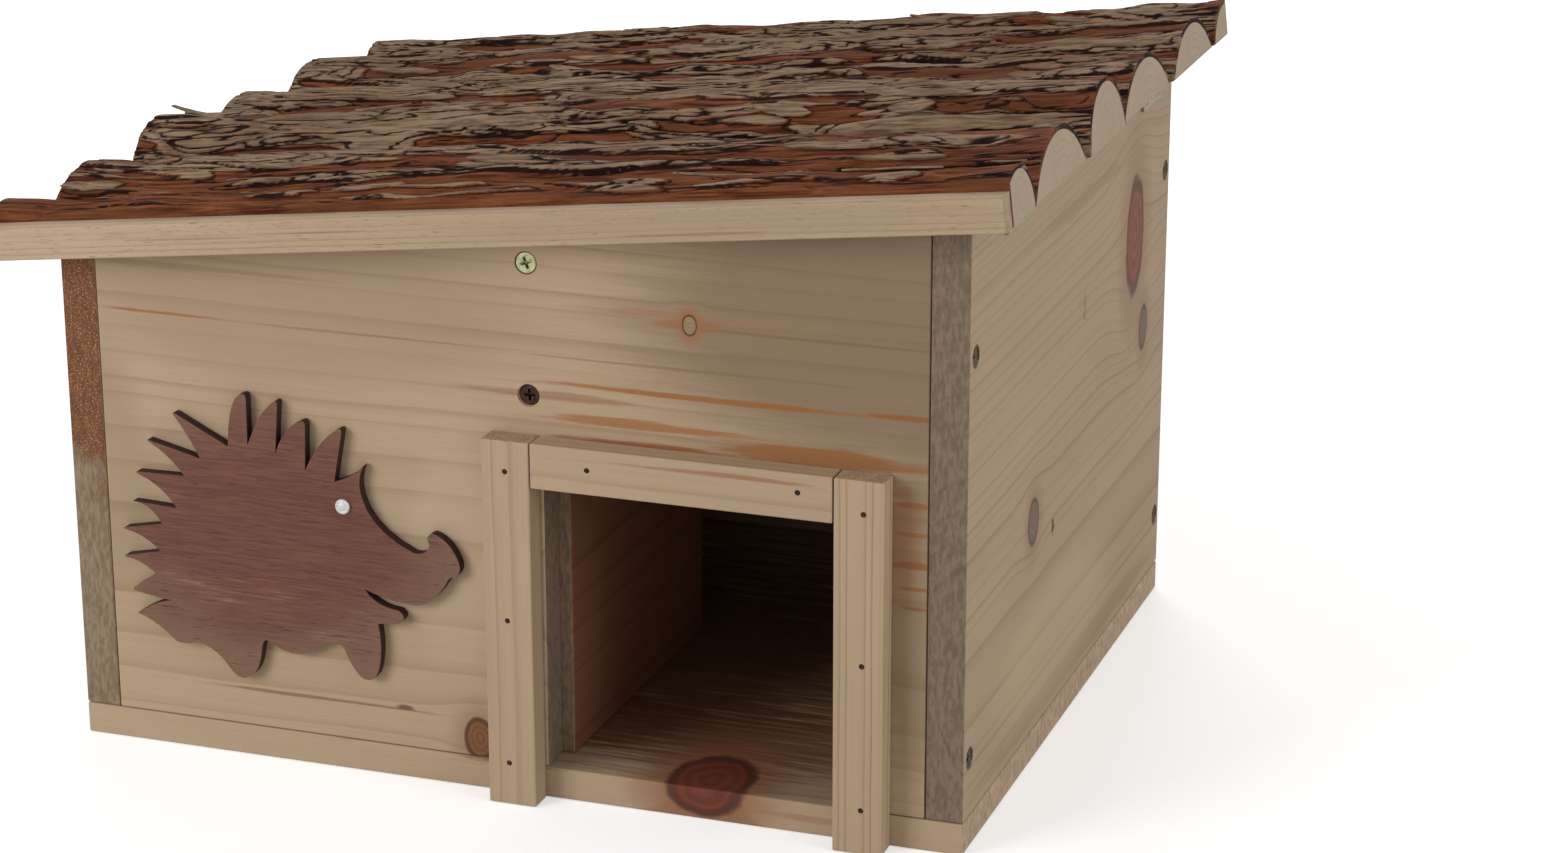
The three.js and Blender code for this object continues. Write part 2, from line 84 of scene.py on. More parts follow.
class Shading:
    """Adds nodes to one node tree. An input is a plain value or another node's output."""

    def __init__(self, tree, material=None):
        self.tree = tree
        self.material = material

    def put(self, socket, value):
        if isinstance(value, bpy.types.NodeSocket):
            self.tree.links.new(value, socket)
        elif socket.type == "VECTOR":
            socket.default_value = value[:3]
        else:
            socket.default_value = value

    def node(self, kind, inputs=None, **settings):
        made = self.tree.nodes.new("ShaderNode" + kind)
        for key, value in settings.items():
            setattr(made, key, value)
        for key, value in (inputs or {}).items():
            self.put(made.inputs[key], value)
        return made

    def math(self, operation, first, second=0.0, third=0.0):
        inputs = {0: first, 1: second, 2: third}
        return self.node("Math", inputs, operation=operation).outputs[0]

    def times(self, first, second):
        return self.math("MULTIPLY", first, second)

    def added(self, value, factor, base):
        """The base plus the value times the factor."""
        return self.math("MULTIPLY_ADD", value, factor, base)

    def vector(self, operation, first, second=(0, 0, 0)):
        made = self.node("VectorMath", {0: first}, operation=operation)
        if operation == "SCALE":
            self.put(made.inputs["Scale"], second)
        else:
            self.put(made.inputs[1], second)
        return made.outputs["Value" if operation in ("LENGTH", "DOT_PRODUCT") else "Vector"]

    def minus(self, first, second):
        return self.vector("SUBTRACT", first, second)

    def noise(self, place, scale, detail=2.0, roughness=0.5, output="Fac"):
        """Noise of one scale, or of its own scale along each axis."""
        if not isinstance(scale, (int, float)):
            place, scale = self.vector("MULTIPLY", place, scale), 1.0
        inputs = {"Vector": place, "Scale": scale, "Detail": detail, "Roughness": roughness}
        return self.node("TexNoise", inputs).outputs[output]

    def ramp(self, value, low, high, out_low=0.0, out_high=1.0):
        inputs = {"Value": value, "From Min": low, "From Max": high, "To Min": out_low,
                  "To Max": out_high}
        made = self.node("MapRange", inputs, interpolation_type="SMOOTHSTEP")
        return made.outputs["Result"]

    def mix(self, share, first, second):
        return self.node("Mix", {0: share, 6: first, 7: second}, data_type="RGBA").outputs[2]

    def tint(self, colour, other, mask, share):
        """The colour, turned by the share towards the other where the mask is 1."""
        return self.mix(self.times(mask, share), colour, other)

    def shade(self, colour, value, low, high):
        """The colour made darker or lighter as the value goes from 0 to 1."""
        return self.vector("SCALE", colour, self.added(value, high - low, low))

    def place(self):
        return self.node("TexCoord").outputs["Object"]

    def lid_place(self, place):
        """The place with X turned up the roof's slope."""
        inputs = {"Vector": place, "Rotation": (0, ROOF_SLOPE, 0)}
        return self.node("Mapping", inputs).outputs["Vector"]

    def square_to(self, axis, low, high):
        """A mask for the faces square to the axis."""
        normal = self.node("TexCoord").outputs["Normal"]
        facing = self.math("ABSOLUTE", self.vector("DOT_PRODUCT", normal, axis))
        return self.ramp(facing, low, high)

    def use(self, group, **inputs):
        made = self.node("Group", node_tree=group)
        for key, value in inputs.items():
            self.put(made.inputs[key.replace("_", " ")], value)
        return made.outputs

    def bump(self, height, strength, distance):
        inputs = {"Height": height, "Strength": strength, "Distance": distance}
        return self.node("Bump", inputs).outputs["Normal"]

    def finish(self, **inputs):
        """The material with this surface."""
        named = {key.replace("_", " "): value for key, value in inputs.items()}
        surface = self.node("BsdfPrincipled", named).outputs[0]
        self.node("OutputMaterial", {"Surface": surface})
        return self.material


def new_material(name):
    material = bpy.data.materials.new(name)
    material.use_nodes = True
    material.node_tree.nodes.clear()
    return Shading(material.node_tree, material)


def new_group(name, places, values, outputs):
    """A group that takes places and single values, and puts out single values."""
    tree = bpy.data.node_groups.new(name, "ShaderNodeTree")
    for labels, way, kind in ((places, "INPUT", "Vector"), (values, "INPUT", "Float"),
                              (outputs, "OUTPUT", "Float")):
        for label in labels:
            tree.interface.new_socket(name=label, in_out=way, socket_type="NodeSocket" + kind)
    given = tree.nodes.new("NodeGroupInput").outputs
    return Shading(tree), given, tree.nodes.new("NodeGroupOutput").inputs


def in_radii(s, given, radii):
    """The place as seen from the centre, in radii."""
    return s.vector("DIVIDE", s.minus(given["Vector"], given["Centre"]), given[radii])


def grain_group():
    """Growth rings round the X axis of the given place, with fibres along X."""
    s, given, out = new_group(
        "pine_grain", ["Vector"], ["Ring Width", "Wobble"], ["Latewood", "Fibre", "Blotch"])
    place = given["Vector"]
    sway = s.noise(place, (5, 20, 20), 3, output="Color")
    sway = s.vector("SCALE", s.minus(sway, (0.5, 0.5, 0.5)), given["Wobble"])
    bent = s.vector("ADD", place, s.vector("SCALE", sway, 2.0))
    radius = s.vector("LENGTH", s.vector("MULTIPLY", bent, (0, 1, 1)))
    count = s.math("DIVIDE", radius, given["Ring Width"])
    uneven = s.node("TexNoise", {"W": s.times(count, 0.4), "Scale": 1.0},
                    noise_dimensions="1D").outputs["Fac"]
    years = s.added(uneven, 2.2, count)
    phase = s.math("FRACT", years)
    year = s.math("FLOOR", years)
    strong = s.node("TexWhiteNoise", {"W": year}, noise_dimensions="1D").outputs["Value"]
    line = s.math("POWER", s.ramp(phase, 0.1, 0.95), 9.0)
    late = s.times(s.added(line, 0.85, s.ramp(phase, 0.1, 0.9, 0.0, 0.15)),
                  s.ramp(phase, 0.95, 1.0, 1.0, 0.0))
    s.put(out["Latewood"], s.times(late, s.added(strong, 0.8, 0.2)))
    s.put(out["Fibre"], s.noise(place, (16, 1300, 1300), 3))
    s.put(out["Blotch"], s.noise(place, (7, 26, 26), 3))
    return s.tree


def pull_group():
    """How far the grain bends towards a knot, as a share of the way to its centre."""
    s, given, out = new_group("grain_round_knot", ["Vector", "Centre", "Reach"], [], ["Pull"])
    away = in_radii(s, given, "Reach")
    fall = s.math("EXPONENT", s.times(s.vector("DOT_PRODUCT", away, away), -1.0))
    s.put(out["Pull"], s.times(fall, 0.7))
    return s.tree


def knot_group():
    """Masks for a knot: its core, dark rim, the stain round it and its own rings."""
    s, given, out = new_group(
        "knot", ["Vector", "Centre", "Radii"], [], ["Core", "Rim", "Halo", "Rings"])
    wobble = s.noise(given["Vector"], 110, 3, output="Color")
    wobble = s.vector("SCALE", s.minus(wobble, (0.5, 0.5, 0.5)), 0.3)
    distance = s.vector("LENGTH", s.vector("ADD", in_radii(s, given, "Radii"), wobble))
    s.put(out["Core"], s.ramp(distance, 0.82, 1.02, 1.0, 0.0))
    rim = s.times(s.ramp(distance, 0.72, 0.95), s.ramp(distance, 0.98, 1.15, 1.0, 0.0))
    s.put(out["Rim"], rim)
    s.put(out["Halo"], s.ramp(distance, 0.9, 2.5, 1.0, 0.0))
    s.put(out["Rings"], s.added(s.math("SINE", s.times(distance, 19.0)), 0.5, 0.5))
    return s.tree


def streak_group():
    """A long mark with torn edges. Grain is how quickly its edge changes along each axis.

    Torn is how uneven the edge is. With a low Torn the mark is a soft patch, which the wood uses for
    painted light and shade.
    """
    s, given, out = new_group("streak", ["Vector", "Centre", "Radii", "Grain"], ["Torn"], ["Mask"])
    torn = s.noise(given["Vector"], given["Grain"], 4, 0.6)
    spread = s.times(s.math("SUBTRACT", torn, 0.5), given["Torn"])
    distance = s.math("ADD", s.vector("LENGTH", in_radii(s, given, "Radii")), spread)
    s.put(out["Mask"], s.ramp(distance, 0.45, 0.95, 1.0, 0.0))
    return s.tree


GRAIN = grain_group()
PULL = pull_group()
KNOT = knot_group()
STREAK = streak_group()

# How the axes are put in order, so that the grain runs along the first
GRAIN_ORDER = {"X": "XYZ", "Y": "YXZ", "Z": "ZXY"}
ALONG = {"X": (1, 0, 0), "Y": (0, 1, 0), "Z": (0, 0, 1)}
TORN_ALONG = {"X": (26, 420, 420), "Y": (420, 26, 420), "Z": (420, 420, 26)}
WIDE = 18 * MM  # a streak wider than this has soft edges; such a streak is a patch of painted light or shade
TORN = 1.5  # how uneven a narrow streak's edge is
SOFT = 0.3  # the same for a wide one
THROUGH = 9  # radius in metres of a mark that goes right through its board
KNOT_REACH_ALONG = 2.4  # how far a knot bends the grain, in knot radii
KNOT_REACH_ACROSS = 1.7

PALE = (176, 152, 124)
PALE_LATE = (136, 106, 76)
PINE = (166, 142, 115)
PINE_LATE = (122, 94, 68)
SAWN_END = (120, 102, 84)


def ring_colour(s, rings, early, late, contrast):
    """The colour of wood with rings, fibres and blotches. contrast is the late colour's share."""
    colour = s.tint(early, late, rings["Latewood"], contrast)
    colour = s.shade(colour, rings["Fibre"], 0.9, 1.1)
    return s.shade(colour, rings["Blotch"], 0.88, 1.12)


def wood(name, grain, pith, early=PINE, late=PINE_LATE, ring=7, wobble=2, contrast=0.6,
         knots=(), streaks_and_shading=(), end=SAWN_END, end_high=None, on_lid=False, pecks=0.0):
    """Sawn softwood. pith is a point that the rings go round, in the piece's own frame.

    Colours are as picked on screen. The pith and the rings' width and wobble are in mm.
    A knot is (centre, radii, colour, rim colour, stain colour, stain share).
    A streak is (centre, radii, colour, share); some are marks in the wood, others patches of painted
    light or shade.
    pecks is the share of small dark dents along the grain.
    """
    s = new_material(name)
    place = s.place()
    if on_lid:
        place = s.lid_place(place)
    bent = place
    for centre, radii, *_ in knots:
        reach = tuple(r if r == THROUGH else r * (KNOT_REACH_ALONG if along else KNOT_REACH_ACROSS)
                      for r, along in zip(radii, ALONG[grain]))
        pulled = tuple(0 if r == THROUGH else 1 - along for r, along in zip(radii, ALONG[grain]))
        pull = s.use(PULL, Vector=bent, Centre=centre, Reach=reach)["Pull"]
        away = s.vector("MULTIPLY", s.minus(bent, centre), pulled)
        bent = s.minus(bent, s.vector("SCALE", away, pull))
    split = s.node("SeparateXYZ", {0: s.minus(bent, in_mm(pith)[0])}).outputs
    axes = {number: split[axis] for number, axis in enumerate(GRAIN_ORDER[grain])}
    ordered = s.node("CombineXYZ", axes).outputs[0]
    rings = s.use(GRAIN, Vector=ordered, Ring_Width=ring * MM, Wobble=wobble * MM)
    colour = ring_colour(s, rings, tone(*early), tone(*late), contrast)

    ends = s.square_to(ALONG[grain], 0.75, 0.92)
    saw = s.noise(place, (900, 900, 260), 3)
    end_colour = tone(*end)
    if end_high:
        height = s.node("SeparateXYZ", {0: place}).outputs["Z"]
        patchy = s.added(s.noise(place, 45, 4), 0.09, height)
        fuzz = s.noise(place, 1500, 1)
        fuzzy = s.tint(tone(*end_high), tone(176, 138, 98), s.ramp(fuzz, 0.54, 0.68), 0.7)
        end_colour = s.mix(s.ramp(patchy, 0.14, 0.165), end_colour, fuzzy)
    end_colour = s.shade(end_colour, s.ramp(saw, 0.35, 0.65), 0.8, 1.2)
    end_colour = s.shade(end_colour, rings["Latewood"], 1.06, 0.86)
    colour = s.mix(ends, colour, end_colour)
    if pecks:
        dents = s.noise(s.vector("MULTIPLY", place, TORN_ALONG[grain]), 8)
        colour = s.tint(colour, tone(104, 80, 58), s.ramp(dents, 0.62, 0.7), pecks)

    # Some streaks are marks in the wood, others soft patches of painted light or shade
    for centre, radii, mark, share in streaks_and_shading:
        mask = s.use(STREAK, Vector=place, Centre=centre, Radii=radii, Grain=TORN_ALONG[grain],
                     Torn=SOFT if min(radii) > WIDE else TORN)["Mask"]
        colour = s.tint(colour, tone(*mark), mask, share)
    relief = s.added(rings["Latewood"], 0.5, rings["Fibre"])
    for centre, radii, core, rim, stain, share in knots:
        masks = s.use(KNOT, Vector=place, Centre=centre, Radii=radii)
        colour = s.tint(colour, tone(*stain), masks["Halo"], share)
        ringed = s.shade(tone(*core), masks["Rings"], 0.82, 1.18)
        colour = s.mix(masks["Core"], colour, s.shade(ringed, rings["Fibre"], 0.8, 1.2))
        colour = s.tint(colour, tone(*rim), masks["Rim"], 0.85)
        relief = s.added(masks["Rim"], -1.2, relief)
    relief = s.added(s.times(ends, saw), 2.0, relief)
    return s.finish(
        Base_Color=colour,
        Roughness=s.added(rings["Fibre"], 0.2, 0.6),
        Normal=s.bump(relief, 0.35, 0.25 * MM),
        Specular_IOR_Level=0.3)


def metal(name, base, dull, rough=0.38, dirt=(70, 55, 38), dirt_share=0.3):
    """Plated steel with uneven plating and some dirt."""
    s = new_material(name)
    place = s.place()
    uneven = s.noise(place, 420, 4, 0.6)
    spots = s.noise(place, 900, 2)
    dirty = s.times(s.ramp(spots, 0.5, 0.72), dirt_share)
    colour = s.mix(dirty, s.mix(s.ramp(uneven, 0.35, 0.7), tone(*base), tone(*dull)), tone(*dirt))
    return s.finish(
        Base_Color=colour,
        Metallic=s.added(dirty, -0.8, 0.9),
        Roughness=s.added(uneven, 0.3, rough - 0.12),
        Normal=s.bump(uneven, 0.15, 0.05 * MM))


PLAQUE_REDDEST = (-92 * MM, 0, 94 * MM)


def stained_ply():
    """Red-brown stain on plywood: fine level grain, dark pores, worn patches and darker sawn edges."""
    s = new_material("stained_ply")
    place = s.place()
    grain = s.noise(place, (60, 700, 1000), 4, 0.65)
    pores = s.noise(place, (130, 900, 1500), 2)
    patches = s.noise(place, (22, 30, 60), 4)
    colour = s.mix(s.ramp(grain, 0.3, 0.72), tone(90, 52, 40), tone(114, 74, 59))
    colour = s.shade(colour, patches, 0.8, 1.18)
    off_middle = s.vector("MULTIPLY", s.minus(place, PLAQUE_REDDEST), (15, 0, 20))
    outer = s.ramp(s.added(patches, 0.6, s.vector("LENGTH", off_middle)), 0.85, 1.5)
    colour = s.tint(colour, tone(124, 97, 77), outer, 0.7)
    colour = s.tint(colour, tone(58, 32, 25), s.ramp(pores, 0.6, 0.72), 0.6)
    worn = s.times(s.ramp(patches, 0.56, 0.7), s.ramp(grain, 0.5, 0.7))
    colour = s.tint(colour, tone(150, 118, 95), worn, 0.4)
    face = s.square_to(FRONTWARD, 0.55, 0.85)
    edge = s.shade(tone(52, 31, 24), s.noise(place, 700), 0.6, 1.4)
    colour = s.mix(face, edge, colour)
    return s.finish(
        Base_Color=colour,
        Roughness=s.added(grain, 0.15, 0.62),
        Normal=s.bump(s.math("SUBTRACT", grain, pores), 0.3, 0.2 * MM),
        Specular_IOR_Level=0.3)


def bark_finish():
    """Bark from the piece's own marks.

    plate is 0 on the bared rust layer and up to 1 on grey plates, highest on their rims, which get a
    painted highlight. dark is 1 in cracks, which are dark bark with painted shade, and lower under the
    plates' edges, where it is a painted shadow.
    """
    s = new_material("bark")
    place = s.lid_place(s.place())
    plate = s.node("Attribute", attribute_name="plate").outputs["Fac"]
    dark = s.node("Attribute", attribute_name="dark").outputs["Fac"]
    fine = s.noise(place, (28, 620, 620), 5, 0.65)
    flecks = s.noise(place, (60, 800, 800), 3, 0.6)
    drift = s.noise(place, (11, 45, 45), 3)
    rust = s.mix(s.ramp(fine, 0.34, 0.64), tone(70, 30, 16), tone(132, 78, 48))
    rust = s.mix(s.ramp(drift, 0.42, 0.68), rust, tone(100, 60, 37))
    grey = s.mix(s.ramp(flecks, 0.34, 0.64), tone(106, 85, 66), tone(156, 131, 105))
    grey = s.tint(grey, tone(106, 72, 50), s.ramp(drift, 0.45, 0.7), 0.6)
    edge = s.added(fine, 0.5, s.math("ADD", plate, -0.25))
    colour = s.mix(s.ramp(edge, 0.3, 0.55), rust, grey)
    # painted highlight on the plates' rims
    colour = s.tint(colour, tone(166, 142, 116), s.ramp(plate, 0.8, 1.0), 0.3)
    colour = s.tint(colour, tone(156, 132, 106), s.ramp(fine, 0.62, 0.78), 0.35)
    # painted shade in the cracks over their dark bark, and painted shadow under the plates' edges
    colour = s.mix(s.ramp(s.added(fine, 0.3, dark), 0.3, 0.8), colour, tone(30, 12, 6))
    height = s.added(flecks, 0.6, fine)
    return s.finish(
        Base_Color=colour,
        Roughness=0.9,
        Normal=s.bump(height, 0.7, 0.8 * MM),
        Specular_IOR_Level=0.15)


BARK = bark_finish()
PLY = stained_ply()
YELLOW_ZINC = metal("yellow_zinc", (170, 172, 138), (138, 136, 98))
DULL_ZINC = metal("dull_zinc", (96, 84, 62), (62, 50, 36), rough=0.5, dirt_share=0.7)
RUSTED_ZINC = metal("rusted_zinc", (70, 50, 42), (34, 20, 16), rough=0.45, dirt=(48, 26, 18))
BRIGHT_STEEL = metal("bright_steel", (176, 178, 176), (138, 140, 138), rough=0.34)
GREY_ZINC = metal("grey_zinc", (158, 146, 124), (122, 110, 90), rough=0.5, dirt_share=0.4)
DARK_STEEL = metal("nail_steel", (52, 42, 36), (34, 26, 22), rough=0.55, dirt_share=0.8)

# Pieces


def linked(name, data):
    made = bpy.data.objects.new(name, data)
    bpy.context.scene.collection.objects.link(made)
    return made


def show(name, mesh, body, material):
    """The mesh as a piece that rides on a body."""
    mesh.materials.append(material)
    piece = linked(name, mesh)
    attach(piece, body)
    return piece


def form_of(mesh):
    bm = bmesh.new()
    bm.from_mesh(mesh)
    return bm


def verts_in(made):
    return [part for part in made if isinstance(part, bmesh.types.BMVert)]


def mesh_from(bm, name):
    mesh = bpy.data.meshes.new(name)
    bm.to_mesh(mesh)
    bm.free()
    return mesh


SHARP_DEGREES = 35


def smooth(mesh, degrees=SHARP_DEGREES):
    mesh.shade_smooth()
    mesh.set_sharp_from_angle(angle=math.radians(degrees))
    return mesh


FLAT_AREA = 60 * MM * MM


def flat_faced(mesh):
    """Smooth shading that leaves every large flat face flat."""
    bm = form_of(mesh)
    for face in bm.faces:
        face.smooth = True
    for edge in bm.edges:
        steep = edge.is_manifold and edge.calc_face_angle() > math.radians(SHARP_DEGREES)
        edge.smooth = not steep and all(face.calc_area() < FLAT_AREA for face in edge.link_faces)
    bm.to_mesh(mesh)
    bm.free()
    return mesh


def carve(mesh, cutter_mesh, crossing=False):
    """The mesh less the cutter, whose own forms may cross each other."""
    body, cutter = (linked("work", data) for data in (mesh, cutter_mesh))
    less = body.modifiers.new("less", "BOOLEAN")
    less.operation = "DIFFERENCE"
    less.solver = "EXACT"
    less.object = cutter
    less.use_self = crossing
    bpy.context.view_layer.update()
    result = bpy.data.meshes.new_from_object(body.evaluated_get(bpy.context.evaluated_depsgraph_get()))
    for made in (body, cutter):
        bpy.data.objects.remove(made)
    return result


LONG_EDGE = 9  # mm; shorter edges are those of screw holes, and stay sharp
ROUNDED_DEGREES = 28  # edges less steep than this belong to curved faces


def softened_mesh(node, radius, shortest):
    """A copy of a CAD node with its long edges rounded over. Sizes are in mm."""
    bm = form_of(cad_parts[node].data)
    ops.remove_doubles(bm, verts=bm.verts, dist=1e-6)
    ops.dissolve_limit(bm, angle_limit=math.radians(1), verts=bm.verts, edges=bm.edges)
    edges = [e for e in bm.edges if e.is_manifold and e.calc_length() > shortest * MM
             and e.calc_face_angle() > math.radians(ROUNDED_DEGREES)]
    ops.bevel(bm, geom=edges, offset=radius * MM, offset_type="OFFSET", segments=2, profile=0.5,
                    affect="EDGES", clamp_overlap=True, material=-1)
    return mesh_from(bm, node + "_copy")


def softened(node, name, body, material, radius=0.7, shortest=LONG_EDGE, pits=None):
    mesh = softened_mesh(node, radius, shortest)
    if pits:
        mesh = carve(mesh, pits)
    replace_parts(show(name, flat_faced(mesh), body, material), node)


def turned(profile, sides):
    """A closed round form from (radius, height) points that run from the axis round to the axis."""
    bm = bmesh.new()
    corners = [bm.verts.new((radius, 0, height)) for radius, height in profile]
    edges = [bm.edges.new(pair) for pair in zip(corners, corners[1:])]
    ops.spin(bm, geom=corners + edges, cent=(0, 0, 0), axis=(0, 0, 1), angle=FULL_TURN,
                   steps=sides, use_merge=True)
    ops.remove_doubles(bm, verts=bm.verts, dist=1e-7)
    ops.recalc_face_normals(bm, faces=bm.faces)
    return bm


def facing(outward, place):
    """Turns +Z to the outward direction and moves the form to the place."""
    return Matrix.Translation(place) @ Vector(outward).to_track_quat("Z", "Y").to_matrix().to_4x4()


def joined(meshes, name):
    bm = bmesh.new()
    for mesh in meshes:
        bm.from_mesh(mesh)
    return mesh_from(bm, name)


def placed(mesh, matrix):
    copy = mesh.copy()
    copy.transform(matrix)
    return copy


def pits_at(places, outward, radius, depth, sides=20):
    """Round pits for fasteners, as one cutter."""
    above = 2 * MM
    profile = [(0, -depth), (radius, -depth), (radius * 1.12, above), (0, above)]
    pit = mesh_from(turned(profile, sides), "pit")
    return joined([placed(pit, facing(outward, place)) for place in places], "pits")


SCREW_SHARP_DEGREES = 30


def cross_screw(head, head_depth, shank, length):
    """A countersunk screw with a cross recess. Its head's face is at height 0, and it points down."""
    r = head / 2
    thread = shank / 2
    profile = [(0, 0), (r * 0.93, 0), (r, -0.12 * head_depth), (r * 0.98, -0.22 * head_depth)]
    profile += [(thread, -head_depth)]
    turns = 9
    pitch = (length - head_depth - shank) / turns
    for turn in range(turns):
        top = -head_depth - turn * pitch
        profile += [(thread * 0.72, top - pitch * 0.35), (thread, top - pitch * 0.85)]
        profile += [(thread, top - pitch)]
    profile += [(0, -length)]
    body = mesh_from(turned(profile, 32), "screw")
    recess = bmesh.new()
    for turn in (0, math.pi / 2):
        arm = ops.create_cube(recess, size=1)["verts"]
        ops.scale(recess, verts=arm, vec=(head * 0.86, head * 0.17, head * 0.5))
        bottom = [v for v in arm if v.co.z < 0]
        ops.scale(recess, verts=bottom, vec=(0.35, 0.6, 0.9))
        ops.rotate(recess, verts=arm, cent=(0, 0, 0), matrix=Matrix.Rotation(turn, 3, "Z"))
    crossed = carve(body, mesh_from(recess, "recess"), crossing=True)
    centre = bmesh.new()
    ops.create_cone(centre, cap_ends=True, segments=12, radius1=head * 0.05, radius2=head * 0.15,
                          depth=head * 0.5)
    return smooth(carve(crossed, mesh_from(centre, "recess_centre")), SCREW_SHARP_DEGREES)


def screw(node, mesh, outward, place, turn, body, material):
    """A screw for a CAD node, with its head's face at the place."""
    matrix = facing(outward, place) @ Matrix.Rotation(turn, 4, "Z")
    piece = show(node + "_head", placed(mesh, matrix), body, material)
    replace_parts(piece, node)


# Walls, floor and frame


def face_knot(x, z, width, height, *colours):
    """A knot right through a board that faces front or back."""
    return ((x * MM, 0, z * MM), (width * MM, THROUGH, height * MM), *colours)


def side_knot(y, z, width, height, *colours):
    """A knot right through a side wall. y is how far it is behind the front face."""
    return ((0, FRONT_FACE + y * MM, z * MM), (THROUGH, width * MM, height * MM), *colours)


def face_streaks_and_shading(*streaks_and_shading):
    """Streaks, and patches of painted light or shade, in a board that faces front or back, each as x,
    z, length, height, colour and share.
    """
    return [((x * MM, 0, z * MM), (length * MM, THROUGH, height * MM), colour, share)
            for x, z, length, height, colour, share in streaks_and_shading]


def side_streaks_and_shading(*streaks_and_shading):
    """Streaks, and patches of painted light or shade, in a side wall, each as y behind the front face,
    z, length, height, colour and share.
    """
    return [((0, FRONT_FACE + y * MM, z * MM), (THROUGH, length * MM, height * MM), colour, share)
            for y, z, length, height, colour, share in streaks_and_shading]


GREY_KNOT = ((108, 88, 68), (66, 48, 34), (128, 104, 80), 0.5)
BROWN_KNOT = ((118, 78, 50), (58, 34, 22), (140, 104, 72), 0.5)
RED_KNOT = ((116, 66, 48), (76, 40, 28), (138, 104, 80), 0.6)
DARK_KNOT = ((78, 36, 26), (36, 16, 10), (128, 84, 58), 0.7)
FLOOR_KNOT = ((106, 52, 36), (66, 30, 20), (140, 88, 58), 0.75)
PALE_KNOT = ((148, 122, 92), (72, 48, 32), (150, 100, 62), 0.75)

FRONT_PINE = wood(
    "front_pine", "X", (0, -96, 78), PALE, PALE_LATE, ring=8.5, wobble=3,
    contrast=0.5,
    knots=[
        face_knot(73, 187, 2.7, 3.9, *PALE_KNOT),
        face_knot(-11, 19.5, 6, 8, *BROWN_KNOT),
    ],
    streaks_and_shading=face_streaks_and_shading(
        # painted shade from the roof's overhang over the upper right of the front
        (140, 190, 125, 70, (118, 97, 74), 0.75),
        # painted shade on the strip right of the entrance
        (158, 90, 22, 90, (122, 100, 76), 0.5),
        # painted shade under the overhang along the upper left
        (-80, 182, 120, 50, (146, 124, 98), 0.5),
        # painted shade on the left part of the front
        (-165, 110, 30, 70, (142, 120, 94), 0.45),
        # painted light right of the plaque
        (-18, 90, 26, 60, (196, 172, 144), 0.4),
        (60, 148, 60, 2.6, (150, 94, 46), 0.75),
        (126, 143.5, 46, 4.6, (146, 92, 46), 0.8),
        (50, 141, 40, 1.6, (140, 78, 34), 0.85),
        (20, 156, 44, 2, (138, 100, 68), 0.6),
        (85, 160.5, 90, 1.4, (146, 92, 42), 0.85),
        (152, 161.5, 22, 1.4, (138, 84, 38), 0.8),
        (-130, 171.6, 34, 1, (146, 92, 44), 0.85),
        (60, 170.5, 110, 0.7, (134, 98, 68), 0.6),
        (-50, 171.2, 110, 0.7, (130, 104, 80), 0.6),
        (73, 187, 15, 3.2, (148, 98, 60), 0.6),
        (152, 116, 8, 28, (150, 100, 60), 0.45),
        (155, 130, 10, 1.5, (146, 90, 50), 0.8),
        (156, 119, 9, 1.2, (146, 90, 50), 0.7),
        (155, 107.5, 10, 1.6, (142, 86, 48), 0.8),
        (156, 99, 9, 1, (146, 90, 50), 0.75),
        (156, 91.5, 9, 1, (142, 86, 48), 0.75),
        (-80, 27, 60, 0.9, (96, 72, 54), 0.6),
        (72, 190, 64, 2.4, (148, 112, 80), 0.6),
        (122, 186, 60, 0.9, (126, 90, 58), 0.6),
        (-120, 190, 70, 1.6, (140, 108, 80), 0.55),
        (-41, 28, 5, 1.2, (82, 58, 42), 0.8),
    ))
BACK_PINE = wood(
    "back_pine", "X", (0, 204, 60), ring=8, wobble=4,
    knots=[
        face_knot(72, 66, 7, 10, *DARK_KNOT),
        face_knot(-92, 148, 8, 6, *BROWN_KNOT),
        face_knot(128, 188, 5, 4, *GREY_KNOT),
        face_knot(-20, 84, 4, 5, *BROWN_KNOT),
    ],
    streaks_and_shading=face_streaks_and_shading((-60, 38, 110, 4, (146, 100, 66), 0.55)))
LEFT_PINE = wood(
    "left_pine", "Y", (-215, 0, 110), ring=8, wobble=4,
    knots=[
        side_knot(96, 66, 9, 7, *GREY_KNOT),
        side_knot(214, 132, 8, 10, *RED_KNOT),
        side_knot(166, 34, 5, 4, *BROWN_KNOT),
    ],
    end=(128, 110, 87), end_high=(104, 62, 34))
RIGHT_PINE = wood(
    "right_pine", "Y", (211, 0, 60), ring=4.8, wobble=1.5,
    knots=[
        side_knot(232, 169, 13, 23, *RED_KNOT),
        side_knot(250, 126, 6.5, 9, *GREY_KNOT),
        side_knot(87, 97, 7, 9, *GREY_KNOT),
    ],
    streaks_and_shading=side_streaks_and_shading(
        (115, 86, 2.4, 4.5, (64, 46, 34), 0.9),
        (155, 161, 2, 7, (104, 84, 64), 0.5),
        (150, 20, 170, 7, (138, 112, 86), 0.55),
        (150, 205, 90, 5, (150, 116, 84), 0.4),
        # painted light on the lower part of the right wall
        (120, 40, 110, 34, (192, 166, 138), 0.4),
    ),
    end=(117, 100, 83))
